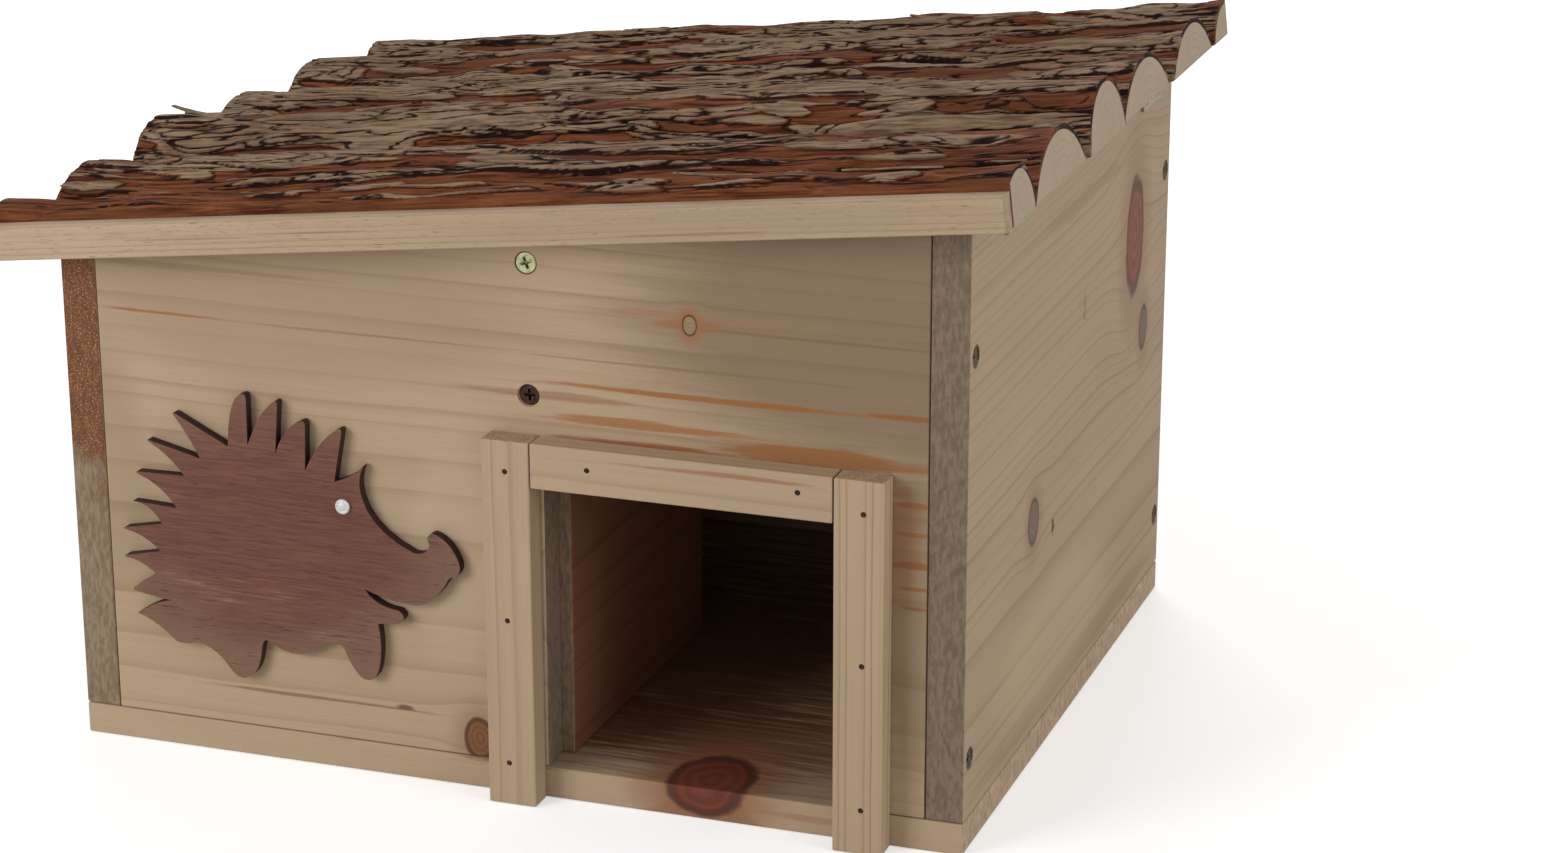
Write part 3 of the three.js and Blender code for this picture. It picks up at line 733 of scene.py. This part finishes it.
FLOOR_PINE = wood(
    "floor_pine", "X", (0, 20, -60), PALE, PALE_LATE, end=(172, 147, 120),
    knots=[((77 * MM, FRONT_FACE + 9 * MM, 11 * MM), (15.5 * MM, 21 * MM, 10 * MM), *FLOOR_KNOT)],
    streaks_and_shading=[
        # painted shade inside the box, darker and redder over the floor's inner part
        ((0, -10 * MM, 13 * MM), (168 * MM, 150 * MM, 6 * MM), (108, 66, 42), 0.85),
        # more painted shade on the floor behind the entrance, fading towards the front edge
        ((68 * MM, FRONT_FACE + 50 * MM, 14 * MM), (98 * MM, 50 * MM, 7 * MM), (112, 70, 46), 0.8),
        ((120 * MM, FRONT_FACE, 6 * MM), (30 * MM, 8 * MM, 2 * MM), (150, 112, 80), 0.5),
    ])
# the partition's darker, redder colours are painted shade inside the box, reddened as light bounces
# off the wood
PARTITION_PINE = wood(
    "partition_pine", "Y", (60, 0, 100),
    early=(128, 84, 60), late=(98, 60, 42), end=(122, 100, 80))
POST_PINE = wood("post_pine", "Z", (40, -84, 0), PALE, PALE_LATE, ring=3.4,
                 wobble=1.5, contrast=0.8, end=(162, 138, 111))
LINTEL_PINE = wood(
    "lintel_pine", "X", (0, -99, 160), PALE, PALE_LATE, ring=6,
    streaks_and_shading=face_streaks_and_shading((88, 137, 50, 1.2, (142, 96, 62), 0.7)))
FASCIA_PINE = wood(
    "fascia_pine", "X", (0, -104, 300), PALE, PALE_LATE, ring=3, wobble=1,
    on_lid=True, end=(158, 136, 110), pecks=0.6,
    streaks_and_shading=face_streaks_and_shading(
        (-82, 218, 36, 0.6, (112, 88, 66), 0.4),
        (-40, 219, 30, 0.5, (104, 80, 60), 0.4),
        (109, 214.5, 40, 0.7, (132, 88, 52), 0.8),
        # painted shade over the fascia's right part
        (120, 218, 130, 8, (158, 136, 109), 0.5),
    ))
BATTEN_PINE = wood("batten_pine", "Y", (0, 0, 260), ring=5, wobble=1.5)

FRAME_FRONT = FRONT_FACE - 10.7 * MM
NAILS = [(6.1, 129.1), (5.8, 72.1), (5.2, 16.4), (140.6, 128.4), (140.3, 71.9), (140.3, 17),
         (37.7, 133), (116.5, 133.7)]
NAIL_RADIUS = 0.9 * MM
NAIL_DEPTH = 0.9 * MM
nail_places = [Vector((x * MM, FRAME_FRONT, z * MM)) for x, z in NAILS]
nail_pits = pits_at(nail_places, FRONTWARD, NAIL_RADIUS * 1.15, NAIL_DEPTH, 16)

FLOOR_SCREW_PLACES = ([(x * MM, y * MM, 0) for y in (-137, 137) for x in (-120, 0, 120)]
                      + [(x * MM, y * MM, 0) for x in (-168, 168) for y in (-60, 60)])
FLOOR_SCREW_DEPTH = 3.4 * MM

softened("floor_board", "floor", "house", FLOOR_PINE,
         pits=pits_at(FLOOR_SCREW_PLACES, DOWN, 3.9 * MM, FLOOR_SCREW_DEPTH))
for side, slot, wood_finish in (("front", "pale_pine", FRONT_PINE), ("back", "pine", BACK_PINE),
                                ("left", "pine", LEFT_PINE), ("right", "pine", RIGHT_PINE)):
    softened(f"{side}_wall", f"{side}_board", "house", wood_finish)
softened("partition", "partition_board", "house", PARTITION_PINE)
for side in ("left", "right"):
    softened(f"frame_post_{side}", f"entrance_post_{side}", "house", POST_PINE,
             pits=nail_pits.copy())
softened("frame_lintel", "entrance_lintel", "house", LINTEL_PINE, pits=nail_pits.copy())

nail_foot = -NAIL_DEPTH - 0.5 * MM
nail_profile = [(0, -0.2 * MM), (NAIL_RADIUS * 0.8, -0.25 * MM), (NAIL_RADIUS, -0.4 * MM),
                (NAIL_RADIUS, nail_foot), (0, nail_foot)]
nail_head = mesh_from(turned(nail_profile, 14), "nail")
nails = [placed(nail_head, facing(FRONTWARD, place)) for place in nail_places]
show("frame_nails", smooth(joined(nails, "frame_nails")), "house", DARK_STEEL)

# Fasteners

BOARD_SCREW = cross_screw(8 * MM, 2.6 * MM, 4 * MM, 36 * MM)
SCREW_RECESS = 0.6 * MM
SCREW_X = 11.5 * MM
screw("partition_screw_upper", BOARD_SCREW, FRONTWARD,
      (SCREW_X, FRONT_FACE + SCREW_RECESS * 0.3, 204 * MM), 0.35, "house", YELLOW_ZINC)
screw("partition_screw_lower", BOARD_SCREW, FRONTWARD,
      (SCREW_X, FRONT_FACE + SCREW_RECESS * 1.6, 155 * MM), 0.1, "house", RUSTED_ZINC)
for side, out, low, high in (("left", -1, 28.9 * MM, 152 * MM), ("right", 1, 35 * MM, 183.9 * MM)):
    for end, y in (("front", FRONT_FACE + 7 * MM), ("back", -FRONT_FACE - 7 * MM)):
        for level, z in (("low", low), ("high", high)):
            place = (out * (-LEFT_FACE - SCREW_RECESS), y, z)
            screw(f"wall_screw_{side}_{end}_{level}", BOARD_SCREW, (out, 0, 0), place,
                  40 * z + 9 * y, "house", DULL_ZINC)


def floor_screw(place):
    """A smaller screw whose shank is cut off inside the floor."""
    head_place = Vector(place) + Vector((0, 0, 0.7 * MM))
    bm = form_of(placed(BOARD_SCREW, facing(DOWN, head_place) @ Matrix.Scale(0.9, 4)))
    whole = bm.verts[:] + bm.edges[:] + bm.faces[:]
    ops.bisect_plane(bm, geom=whole, plane_co=(0, 0, FLOOR_SCREW_DEPTH + 1 * MM),
                           plane_no=(0, 0, 1), clear_outer=True)
    ops.holes_fill(bm, edges=bm.edges)
    return mesh_from(bm, "floor_screw")


floor_screws = [floor_screw(place) for place in FLOOR_SCREW_PLACES]
show("floor_screws", smooth(joined(floor_screws, "floor_screws")), "house", DULL_ZINC)

# Plaque and its eye

softened("hedgehog_plaque", "hedgehog_board", "house", PLY, radius=0.3,
         shortest=0.3)
EYE_RADIUS = 2.9
EYE_PLACE = (-61.2 * MM, FRONT_FACE - 4.6 * MM, 106.2 * MM)
eye_profile = in_mm((0, 0.85), (EYE_RADIUS * 0.55, 0.8), (EYE_RADIUS * 0.62, 0.68),
                    (EYE_RADIUS * 0.7, 0.8), (EYE_RADIUS * 0.92, 0.7), (EYE_RADIUS, 0.4),
                    (EYE_RADIUS, 0), (0, 0))


def eye_finish():
    s = new_material("eye_paint")
    scratches = s.noise(s.place(), 1500, 4)
    return s.finish(
        Base_Color=s.mix(s.ramp(scratches, 0.4, 0.75), tone(206, 208, 206), tone(160, 158, 152)),
        Roughness=s.added(scratches, 0.3, 0.3),
        Normal=s.bump(scratches, 0.2, 0.05 * MM),
        Metallic=0.25)


eye = mesh_from(turned(eye_profile, 48), "eye")
eye.transform(facing(FRONTWARD, EYE_PLACE))
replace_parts(show("hedgehog_eye", smooth(eye), "house", eye_finish()), "plaque_eye")

# Roof slabs


def lattice(column, row, seed):
    """A repeatable random value from 0 to 1 for each whole-number place."""
    mixed = (column.astype(np.int64) * 374761393 + row.astype(np.int64) * 668265263 + seed * 974711)
    mixed = mixed & 0xFFFFFFFF
    mixed = ((mixed ^ (mixed >> 13)) * 1274126177) & 0xFFFFFFFF
    return ((mixed ^ (mixed >> 16)) & 0xFFFF) / 65535.0


def fade(share):
    return share * share * share * (share * (share * 6 - 15) + 10)


def ripple(x, y, seed):
    """Smooth noise over a surface, about -1 to 1."""
    column, row = np.floor(x), np.floor(y)
    total = 0
    for right in (0, 1):
        for up in (0, 1):
            turn = lattice(column + right, row + up, seed) * FULL_TURN
            dx, dy = x - column - right, y - row - up
            near = fade(1 - np.abs(dx)) * fade(1 - np.abs(dy))
            total = total + near * (np.cos(turn) * dx + np.sin(turn) * dy)
    return total * 1.5


def layered(x, y, seed, layers=3):
    total, share, size = 0, 1.0, 0.0
    for layer in range(layers):
        total = total + share * ripple(x * 2 ** layer, y * 2 ** layer, seed + 7 * layer)
        size += share
        share *= 0.55
    return total / size * 1.4


def step(value, edge, width):
    return fade(np.clip((value - edge) / width + 0.5, 0, 1))


# The CAD slabs' sizes and bark plates, in mm
SLAB_CROWNS = [19.6, 20, 24, 19, 18, 15]
SLAB_UNCUT = {1: 39.2, 6: 42}
SLAB_EDGE_THICK = 1
RELIEF = 2.4
RELIEF_FADE_HEIGHT = 6
RELIEF_END_FADE = 24
PLATE_LENGTH = 112
PLATE_WIDTH = 22
PLATE_BEND_LENGTH = 87
PLATE_BEND_WIDTH = 31

BARK_THICK = 2.2  # over the wood at the slab's ends
CELL_ALONG = 1.1
CELL_ACROSS = 0.5
# Where each layer of bark starts, from the bared layer up, and its thickness
PLATE_LAYERS = [(-0.2, 0.5), (0.06, 0.45), (0.3, 0.35)]
PLATE_SLOPE = 0.12  # how fast the plates' field usually changes, per mm
# Length and width of the forms between cracks, a crack's width, its depth and its own random start
CRACKS = [(150, 8, 0.9, 1.6, 47), (95, 5, 0.7, 1, 59), (60, 3.2, 0.5, 0.5, 67)]


def cad_relief(number, along, from_end, angle, radius, centre):
    """The wave from hollow to plate, and how far the CAD slab lies below its round there."""
    index = number - 1
    around = radius * angle
    lengthwise = along / PLATE_LENGTH + 0.27 * index
    lengthwise = lengthwise + 0.35 * np.sin(FULL_TURN * around / PLATE_BEND_WIDTH + index)
    crosswise = around / PLATE_WIDTH + 0.14 * index
    crosswise = crosswise + 0.22 * np.sin(FULL_TURN * along / PLATE_BEND_LENGTH + 2 * index)
    wave = np.sin(FULL_TURN * lengthwise) * np.sin(FULL_TURN * crosswise)
    up = centre + radius * np.sin(angle)
    share = np.clip((up - SLAB_EDGE_THICK) / RELIEF_FADE_HEIGHT, 0, 1)
    share = share * np.clip(from_end / RELIEF_END_FADE, 0, 1)
    return wave, RELIEF * (1 - wave) / 2 * share


def bark_relief(along, across, shape, wave, sunk, edge_share, end_share, seed, bare):
    """Height over the CAD round, plate mark and dark mark for places in mm. The dark mark holds
    painted shade, and the plate mark's rims a painted highlight.

    bare moves the plates apart.
    """

    def from_line(field, usual):
        """The field as a distance in mm from where it is 0. usual is its usual slope per mm."""
        slopes = np.gradient(field.reshape(shape), CELL_ACROSS, CELL_ALONG)
        return field / np.maximum(np.hypot(*slopes).ravel(), 0.6 * usual)

    sway = 4.5 * layered(along / 90, across / 24, seed)
    sway = sway + 0.7 * layered(along / 26, across / 8, seed + 11)
    y = across + sway
    x = along + 12 * layered(along / 60, across / 12, seed + 23)
    flaked = 0.5 * ripple(along / 85, across / 26, seed + 71) + bare + 0.35 * edge_share
    plates = layered(x / 120, y / 9, seed + 31, 2) + 0.3 * wave - flaked
    small = layered(x / 34, y / 2.6, seed + 41, 2)
    level = plates + 0.15 * small
    height = -sunk - 0.75
    dark = rim = 0
    for start, thick in PLATE_LAYERS:
        inside = from_line(level - start, PLATE_SLOPE)
        height = height + thick * step(inside, 0, 0.8)
        # A painted shadow runs just below each plate's edge, and rim marks a band along its top for a
        # painted highlight
        foot_shadow = step(inside, -0.9, 0.6) * (1 - step(inside, -0.2, 0.4))
        dark = np.maximum(dark, foot_shadow * 0.7)
        rim = np.maximum(rim, step(inside, 0.2, 0.4) * (1 - step(inside, 1.2, 0.8)))
    for size_x, size_y, width, depth, shift in CRACKS:
        line = np.abs(from_line(ripple(x / size_x, y / size_y, seed + shift), 1 / size_y))
        opened = np.clip(ripple(x / 70, y / 12, seed + shift + 3) * 2.4 + 0.2, 0, 1)
        # cracks are dark bark with painted shade in them
        crack = np.clip(1.3 - line / (0.5 * width), 0, 1) * opened
        height = height - depth * crack
        dark = np.maximum(dark, crack)
    height = height + 0.14 * layered(along / 20, across / 1.4, seed + 83, 2)
    lowest = -sunk - 0.7 - 2.5 * end_share
    # plate rises from 0.75 to 1 on the rims, which take a painted highlight
    plate = step(from_line(level - PLATE_LAYERS[0][0], PLATE_SLOPE), 0.2, 0.8) * (0.75 + 0.25 * rim)
    return np.minimum(np.maximum(height, lowest), 0), plate, np.clip(dark, 0, 1)


FLAKE_ALONG = 8
FLAKE_ACROSS = 2


def slab_round(number):
    """The slab's lowest and highest corner, its crown's place, radius, centre height, start and end.

    All of it is in lid coordinates. Start and end are angles from the direction to the back.
    """
    to_lid = LID.inverted()
    corners = np.array([to_lid @ v.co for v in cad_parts[f"roof_slab_{number}"].data.vertices])
    low, high = corners.min(0), corners.max(0)
    half = SLAB_UNCUT[number] * MM / 2 if number in SLAB_UNCUT else (high[1] - low[1]) / 2
    crown_place = high[1] - half if number == 1 else low[1] + half
    crown = SLAB_CROWNS[number - 1] * MM
    radius = (half * half + crown * crown) / (2 * crown)
    centre = crown - radius
    flat_side = math.asin((SLAB_EDGE_THICK * MM - centre) / radius)
    start = min(math.acos(max(-1, (low[1] - crown_place) / radius)), math.pi - flat_side)
    end = max(math.acos(min(1, (high[1] - crown_place) / radius)), flat_side)
    return low, high, crown_place, radius, centre, start, end


def add_flake(bm, rng, place, normal_turn, length, width, lift, turn):
    """A thin loose piece of bark, pointed at both ends and lifted at one, in lid coordinates."""
    grid = ops.create_grid(bm, x_segments=FLAKE_ALONG, y_segments=FLAKE_ACROSS, size=0.5)
    verts = grid["verts"]
    curl = rng.uniform(-0.6, 0.6)
    for v in verts:
        u, w = v.co.x, v.co.y
        narrow = math.sqrt(max(0.03, 1 - abs(2 * u) ** 2.4)) * rng.uniform(0.75, 1.1)
        rise = lift * (u + 0.5) ** 2 + abs(w) * width * 0.25 * curl + rng.uniform(-0.15, 0.15) * MM
        v.co = ((u + rng.uniform(-0.03, 0.03)) * length, w * width * narrow, rise)
    faces = list({face for v in verts for face in v.link_faces})
    made = ops.solidify(bm, geom=faces, thickness=0.7 * MM)["geom"]
    flake = list(set(verts) | set(verts_in(made)))
    matrix = Matrix.Translation(place) @ Matrix.Rotation(normal_turn, 4, "X")
    ops.transform(bm, matrix=matrix @ Matrix.Rotation(turn, 4, "Z"), verts=flake)
    return flake


def bark_piece(number, bare, flakes, big_flakes=()):
    low, high, crown_place, radius, centre, start, end = slab_round(number)
    rows = round(radius * (start - end) / (CELL_ACROSS * MM))
    columns = round((high[0] - low[0]) / (CELL_ALONG * MM))
    inset = 0.15 * MM  # the wood stands a little proud of the bark at the sawn ends
    bm = bmesh.new()
    ops.create_grid(bm, x_segments=columns, y_segments=rows + 2, size=0.5)
    co = np.array([v.co for v in bm.verts])
    u = co[:, 0] + 0.5
    row = np.rint((co[:, 1] + 0.5) * (rows + 2))
    along = low[0] + inset + u * (high[0] - low[0] - 2 * inset)
    share = np.clip((row - 1) / rows, 0, 1)
    angle = start + (end - start) * share
    edge_share = (np.abs(share - 0.5) * 2) ** 4
    from_end = np.minimum(along - low[0], high[0] - along)
    end_share = np.clip((from_end - 1 * MM) / (4 * MM), 0, 1)
    wave, sunk = cad_relief(number, along / MM, from_end / MM, angle, radius / MM, centre / MM)
    height, plate, dark = bark_relief(
        along / MM, radius * (start - angle) / MM, (rows + 3, columns + 1), wave, sunk,
        edge_share, end_share, 100 * number, bare)
    reach = radius + height * MM
    dark = dark * np.clip(np.minimum(row - 1, rows + 1 - row) / 5, 0, 1)
    front, back = low[1] + 0.1 * MM, high[1] - 0.1 * MM
    across = np.clip(crown_place + reach * np.cos(angle), front, back)
    up = np.maximum(centre + reach * np.sin(angle), 0.5 * MM)
    across[row == 0] = front
    across[row == rows + 2] = back
    up[(row == 0) | (row == rows + 2)] = 0.05 * MM
    plate_mark = bm.verts.layers.float.new("plate")
    dark_mark = bm.verts.layers.float.new("dark")
    for v, place, plate_share, dark_share in zip(bm.verts, zip(along, across, up), plate, dark):
        v.co = place
        v[plate_mark] = plate_share
        v[dark_mark] = dark_share
    first_row = set(np.flatnonzero(row == 0))
    chain = [e for e in bm.edges if all(v.index in first_row for v in e.verts)]
    made = ops.extrude_edge_only(bm, edges=chain)["geom"]
    for v in verts_in(made):
        v.co.y = back
    ops.remove_doubles(bm, verts=bm.verts, dist=0.01 * MM)
    ops.holes_fill(bm, edges=bm.edges)
    ops.recalc_face_normals(bm, faces=bm.faces)
    rng = random.Random(number)
    spots = [(rng.uniform(low[0] + 15 * MM, high[0] - 20 * MM), rng.uniform(0.12, 0.88),
              rng.uniform(14, 40) * MM, rng.uniform(2.5, 6) * MM, rng.uniform(0.3, 2.2) * MM,
              rng.choice((0, math.pi)) + rng.uniform(-0.16, 0.16)) for _ in range(flakes)]
    for a, side, length, width, lift, turn in spots + list(big_flakes):
        lean = start + (end - start) * side
        out = radius - 0.9 * MM
        place = (a, crown_place + out * math.cos(lean), centre + out * math.sin(lean))
        for v in add_flake(bm, rng, place, lean - math.pi / 2, length, width, lift, turn):
            v[plate_mark] = 0.75
    mesh = mesh_from(bm, f"bark_{number}")
    mesh.transform(LID)
    for vertex in mesh.vertices:
        vertex.co.x = min(max(vertex.co.x, cad_box[0][0] + 0.2 * MM), cad_box[1][0] - 0.2 * MM)
    piece = show(f"roof_bark_{number}", smooth(mesh, 70), "lid", BARK)
    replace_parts(piece, f"roof_slab_{number}")


def add_box(bm, corner, opposite):
    made = ops.create_cube(bm, size=1)["verts"]
    ops.scale(bm, verts=made, vec=[b - a for a, b in zip(corner, opposite)])
    ops.translate(bm, verts=made, vec=[(a + b) / 2 for a, b in zip(corner, opposite)])


END_THICK = 1 * MM
UNDERSIDE_THICK = 0.6 * MM
UNDERSIDE_INSET = 1.9 * MM


def slab_wood_piece(number):
    """The slab's wood where it shows: the sawn ends, the underside and the last slab's sawn back."""
    low, high, crown_place, radius, centre, start, end = slab_round(number)
    angles = np.linspace(end, start, 61)
    bm = bmesh.new()
    for x0, x1 in ((low[0], low[0] + END_THICK), (high[0] - END_THICK, high[0])):
        inner = radius - BARK_THICK * MM
        across = crown_place + inner * np.cos(angles)
        up = np.maximum(centre + inner * np.sin(angles), 0.3 * MM)
        corners = [(across[-1], 0), (across[0], 0)] + list(zip(across, up))
        face = bm.faces.new([bm.verts.new((x0, y, z)) for y, z in corners])
        made = ops.extrude_face_region(bm, geom=[face])["geom"]
        ops.translate(bm, verts=verts_in(made), vec=(x1 - x0, 0, 0))
    ops.recalc_face_normals(bm, faces=bm.faces)
    x0, x1 = low[0] + END_THICK, high[0] - END_THICK
    back = high[1] if number == 6 else high[1] - UNDERSIDE_INSET
    add_box(bm, (x0, low[1] + UNDERSIDE_INSET, 0), (x1, back, UNDERSIDE_THICK))
    if number == 6:
        top = centre + radius * math.sin(end) - (RELIEF + BARK_THICK) * MM
        add_box(bm, (x0, back - END_THICK, UNDERSIDE_THICK), (x1, back, top))
    mesh = mesh_from(bm, f"slab_wood_{number}")
    mesh.transform(LID)
    pith = (0, crown_place + 2 * MM, centre + 0.35 * radius)
    show(f"roof_slab_wood_{number}", smooth(mesh, 25), "lid", slab_wood_finish(number, pith))


def slab_wood_finish(number, pith):
    """Pale log wood with rings round the heart of its own log, in lid coordinates."""
    s = new_material(f"slab_wood_{number}")
    place = s.lid_place(s.minus(s.place(), tuple(LID.translation)))
    rings = s.use(GRAIN, Vector=s.minus(place, pith), Ring_Width=2.6 * MM, Wobble=1.2 * MM)
    colour = ring_colour(s, rings, tone(170, 152, 129), tone(138, 116, 92), 0.45)
    saw = s.noise(place, (500, 900, 300), 3)
    colour = s.shade(colour, saw, 0.86, 1.14)
    return s.finish(
        Base_Color=colour,
        Roughness=s.added(saw, 0.2, 0.65),
        Normal=s.bump(s.math("ADD", saw, rings["Latewood"]), 0.3, 0.3 * MM),
        Specular_IOR_Level=0.25)


SLAB_BARE = [0.5, 0.34, 0.02, -0.04, 0.02, 0.2]
LEFT_END = -20 * MM
BIG_FLAKES = {
    2: [(LEFT_END + 17 * MM, 0.25, 24 * MM, 5 * MM, 3 * MM, math.pi + 0.1)],
    3: [(LEFT_END + 18 * MM, 0.6, 30 * MM, 5 * MM, 5 * MM, math.pi - 0.2),
        (LEFT_END + 19 * MM, 0.7, 26 * MM, 4 * MM, 3 * MM, math.pi + 0.15)],
    5: [(255 * MM, 0.62, 26 * MM, 5 * MM, 4 * MM, 0.2)],
}
for number, bare in enumerate(SLAB_BARE, 1):
    slab_wood_piece(number)
    bark_piece(number, bare, 9 if number in (1, 6) else 16, BIG_FLAKES.get(number, ()))

softened("roof_fascia", "roof_front_strip", "lid", FASCIA_PINE, radius=0.5)
for side in ("left", "right"):
    softened(f"roof_batten_{side}", f"under_roof_batten_{side}", "lid", BATTEN_PINE)

BATTEN_SCREWS = [(x * MM, y * MM) for x in (28.9, 323.4)
                 for y in (-106, -89, -38, -14, 18, 56, 90, 114)]
BATTEN_FACE = -10.3 * MM
lid_down = LID.to_3x3() @ Vector(DOWN)
batten_screw = mesh_from(turned(in_mm((0, 0.15), (2.6, 0.1), (3, -0.1), (0, -2)), 28), "batten_screw")
batten_slot = bmesh.new()
add_box(batten_slot, *in_mm((-1.7, -0.4, -0.9), (1.7, 0.4, 0.5)))
add_box(batten_slot, *in_mm((-0.4, -1.7, -0.9), (0.4, 1.7, 0.5)))
batten_screw = carve(batten_screw, mesh_from(batten_slot, "slot"), crossing=True)
smooth(batten_screw, SCREW_SHARP_DEGREES)
batten_screws = [placed(batten_screw, facing(lid_down, LID @ Vector((x, y, BATTEN_FACE)))
                        @ Matrix.Rotation(90 * x + 70 * y, 4, "Z")) for x, y in BATTEN_SCREWS]
show("batten_screws", joined(batten_screws, "batten_screws"), "lid", YELLOW_ZINC)

# Hinges, the rod that props the lid and their screws

for place in ("front", "back"):
    for leaf, body in (("wall", "house"), ("lid", "lid")):
        softened(f"hinge_{place}_{leaf}_leaf", f"hinge_{place}_{leaf}_plate", body, GREY_ZINC,
                 radius=0.2, shortest=3)
    softened(f"hinge_{place}_pin", f"hinge_{place}_rod", "house", GREY_ZINC, radius=0.2,
             shortest=0.2)

HINGE_SCREW = cross_screw(4.4 * MM, 1.2 * MM, 2.2 * MM, 9 * MM)
AXIS_HEIGHT = 230.99 * MM
AXIS_ALONG = (LID.inverted() @ Vector((177.8 * MM, 0, AXIS_HEIGHT))).x
LEAF_FACE = 1.5 * MM  # the leaf's outer face, from the wood
for place, hinge_y in (("front", -89 * MM), ("back", 106 * MM)):
    for row, offset in (("front", -9 * MM), ("back", 9 * MM)):
        wall_place = (-LEFT_FACE + LEAF_FACE, hinge_y + offset, AXIS_HEIGHT - 7.8 * MM)
        screw(f"hinge_{place}_screw_wall_{row}", HINGE_SCREW, (1, 0, 0), wall_place,
              0.3 + 7 * offset, "house", YELLOW_ZINC)
        lid_place = LID @ Vector((AXIS_ALONG + 7.8 * MM, hinge_y + offset, -LEAF_FACE))
        screw(f"hinge_{place}_screw_lid_{row}", HINGE_SCREW, lid_down, lid_place,
              0.9 + 5 * offset, "lid", YELLOW_ZINC)

softened("prop_bracket", "prop_holder", "lid", BRIGHT_STEEL, radius=0.25,
         shortest=1.1)
PIVOT = Vector((-144.32 * MM, 6 * MM, 181.06 * MM))
uphill = LID.to_3x3() @ Vector((1, 0, 0))
rod = turned(in_mm((0, -1.4), (1.1, -1.4), (1.5, -1), (1.5, 104), (1.1, 105), (0, 105)), 32)
ops.transform(rod, matrix=facing(uphill, PIVOT), verts=rod.verts)
pin = turned(in_mm((0, -3.2), (0.8, -3.2), (1, -3), (1, 3), (0.8, 3.2), (0, 3.2)), 24)
ops.transform(pin, matrix=facing((0, 1, 0), PIVOT), verts=pin.verts)
rod_mesh = joined([mesh_from(rod, "rod"), mesh_from(pin, "pin")], "prop_rod_round")
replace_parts(show("prop_rod_round", smooth(rod_mesh), "prop", BRIGHT_STEEL), "prop_rod")

# Staging: pale floor, soft lamps and the camera


def background_seen(s):
    """1 for the camera's rays, reflections and rays through glass, which see the pale ground."""
    path = s.node("LightPath").outputs
    seen = s.math("MAXIMUM", path["Is Camera Ray"], path["Is Glossy Ray"])
    return s.math("MAXIMUM", seen, path["Is Transmission Ray"])


def pale_floor():
    s = new_material("studio_floor")
    diffuse = s.node("BsdfDiffuse", {"Color": (0.86, 0.86, 0.86, 1)}).outputs[0]
    glow = s.node("Emission", {"Color": (1, 1, 1, 1), "Strength": 0.45}).outputs[0]
    both = s.node("AddShader", {0: diffuse, 1: glow}).outputs[0]
    chosen = s.node("MixShader", {0: background_seen(s), 1: diffuse, 2: both}).outputs[0]
    s.node("OutputMaterial", {"Surface": chosen})
    return s.material


bm = bmesh.new()
ops.create_grid(bm, x_segments=1, y_segments=1, size=6)
floor_mesh = mesh_from(bm, "studio_floor")
floor_mesh.materials.append(pale_floor())
studio_floor = linked("studio_floor", floor_mesh)
studio_floor.location.z = -0.2 * MM

world = bpy.data.worlds.new("studio")
world.use_nodes = True
world.node_tree.nodes.clear()
sky = Shading(world.node_tree)
strength = sky.added(background_seen(sky), 0.6, 0.4)
background = sky.node("Background", {"Color": (1, 1, 1, 1), "Strength": strength}).outputs[0]
sky.node("OutputWorld", {"Surface": background})
bpy.context.scene.world = world

LAMP_AIM = Vector((0, 0, 0.1))


def soft_lamp(name, place, size, power):
    lamp = bpy.data.lights.new(name, "AREA")
    lamp.shape = "SQUARE"
    lamp.size = size
    lamp.energy = power
    holder = linked(name, lamp)
    holder.location = place
    holder.rotation_euler = (LAMP_AIM - Vector(place)).to_track_quat("-Z", "Y").to_euler()


soft_lamp("key_lamp", (-0.9, -1.3, 0.65), 0.8, 12.5)
soft_lamp("fill_lamp", (1.9, -0.6, 0.8), 1.2, 12)
soft_lamp("back_lamp", (-0.6, 1.8, 1.4), 1.2, 16)

camera = bpy.data.cameras.new("camera")
camera.lens = 85.84
camera.sensor_width = 36
camera.clip_start = 0.05
camera_holder = linked("camera", camera)
camera_holder.location = (0.5135, -1.3137, 0.56)
camera_holder.rotation_euler = (math.pi / 2 - 0.3171, 0, 0.3338)
bpy.context.scene.camera = camera_holder
bpy.context.scene.view_settings.view_transform = "Standard"
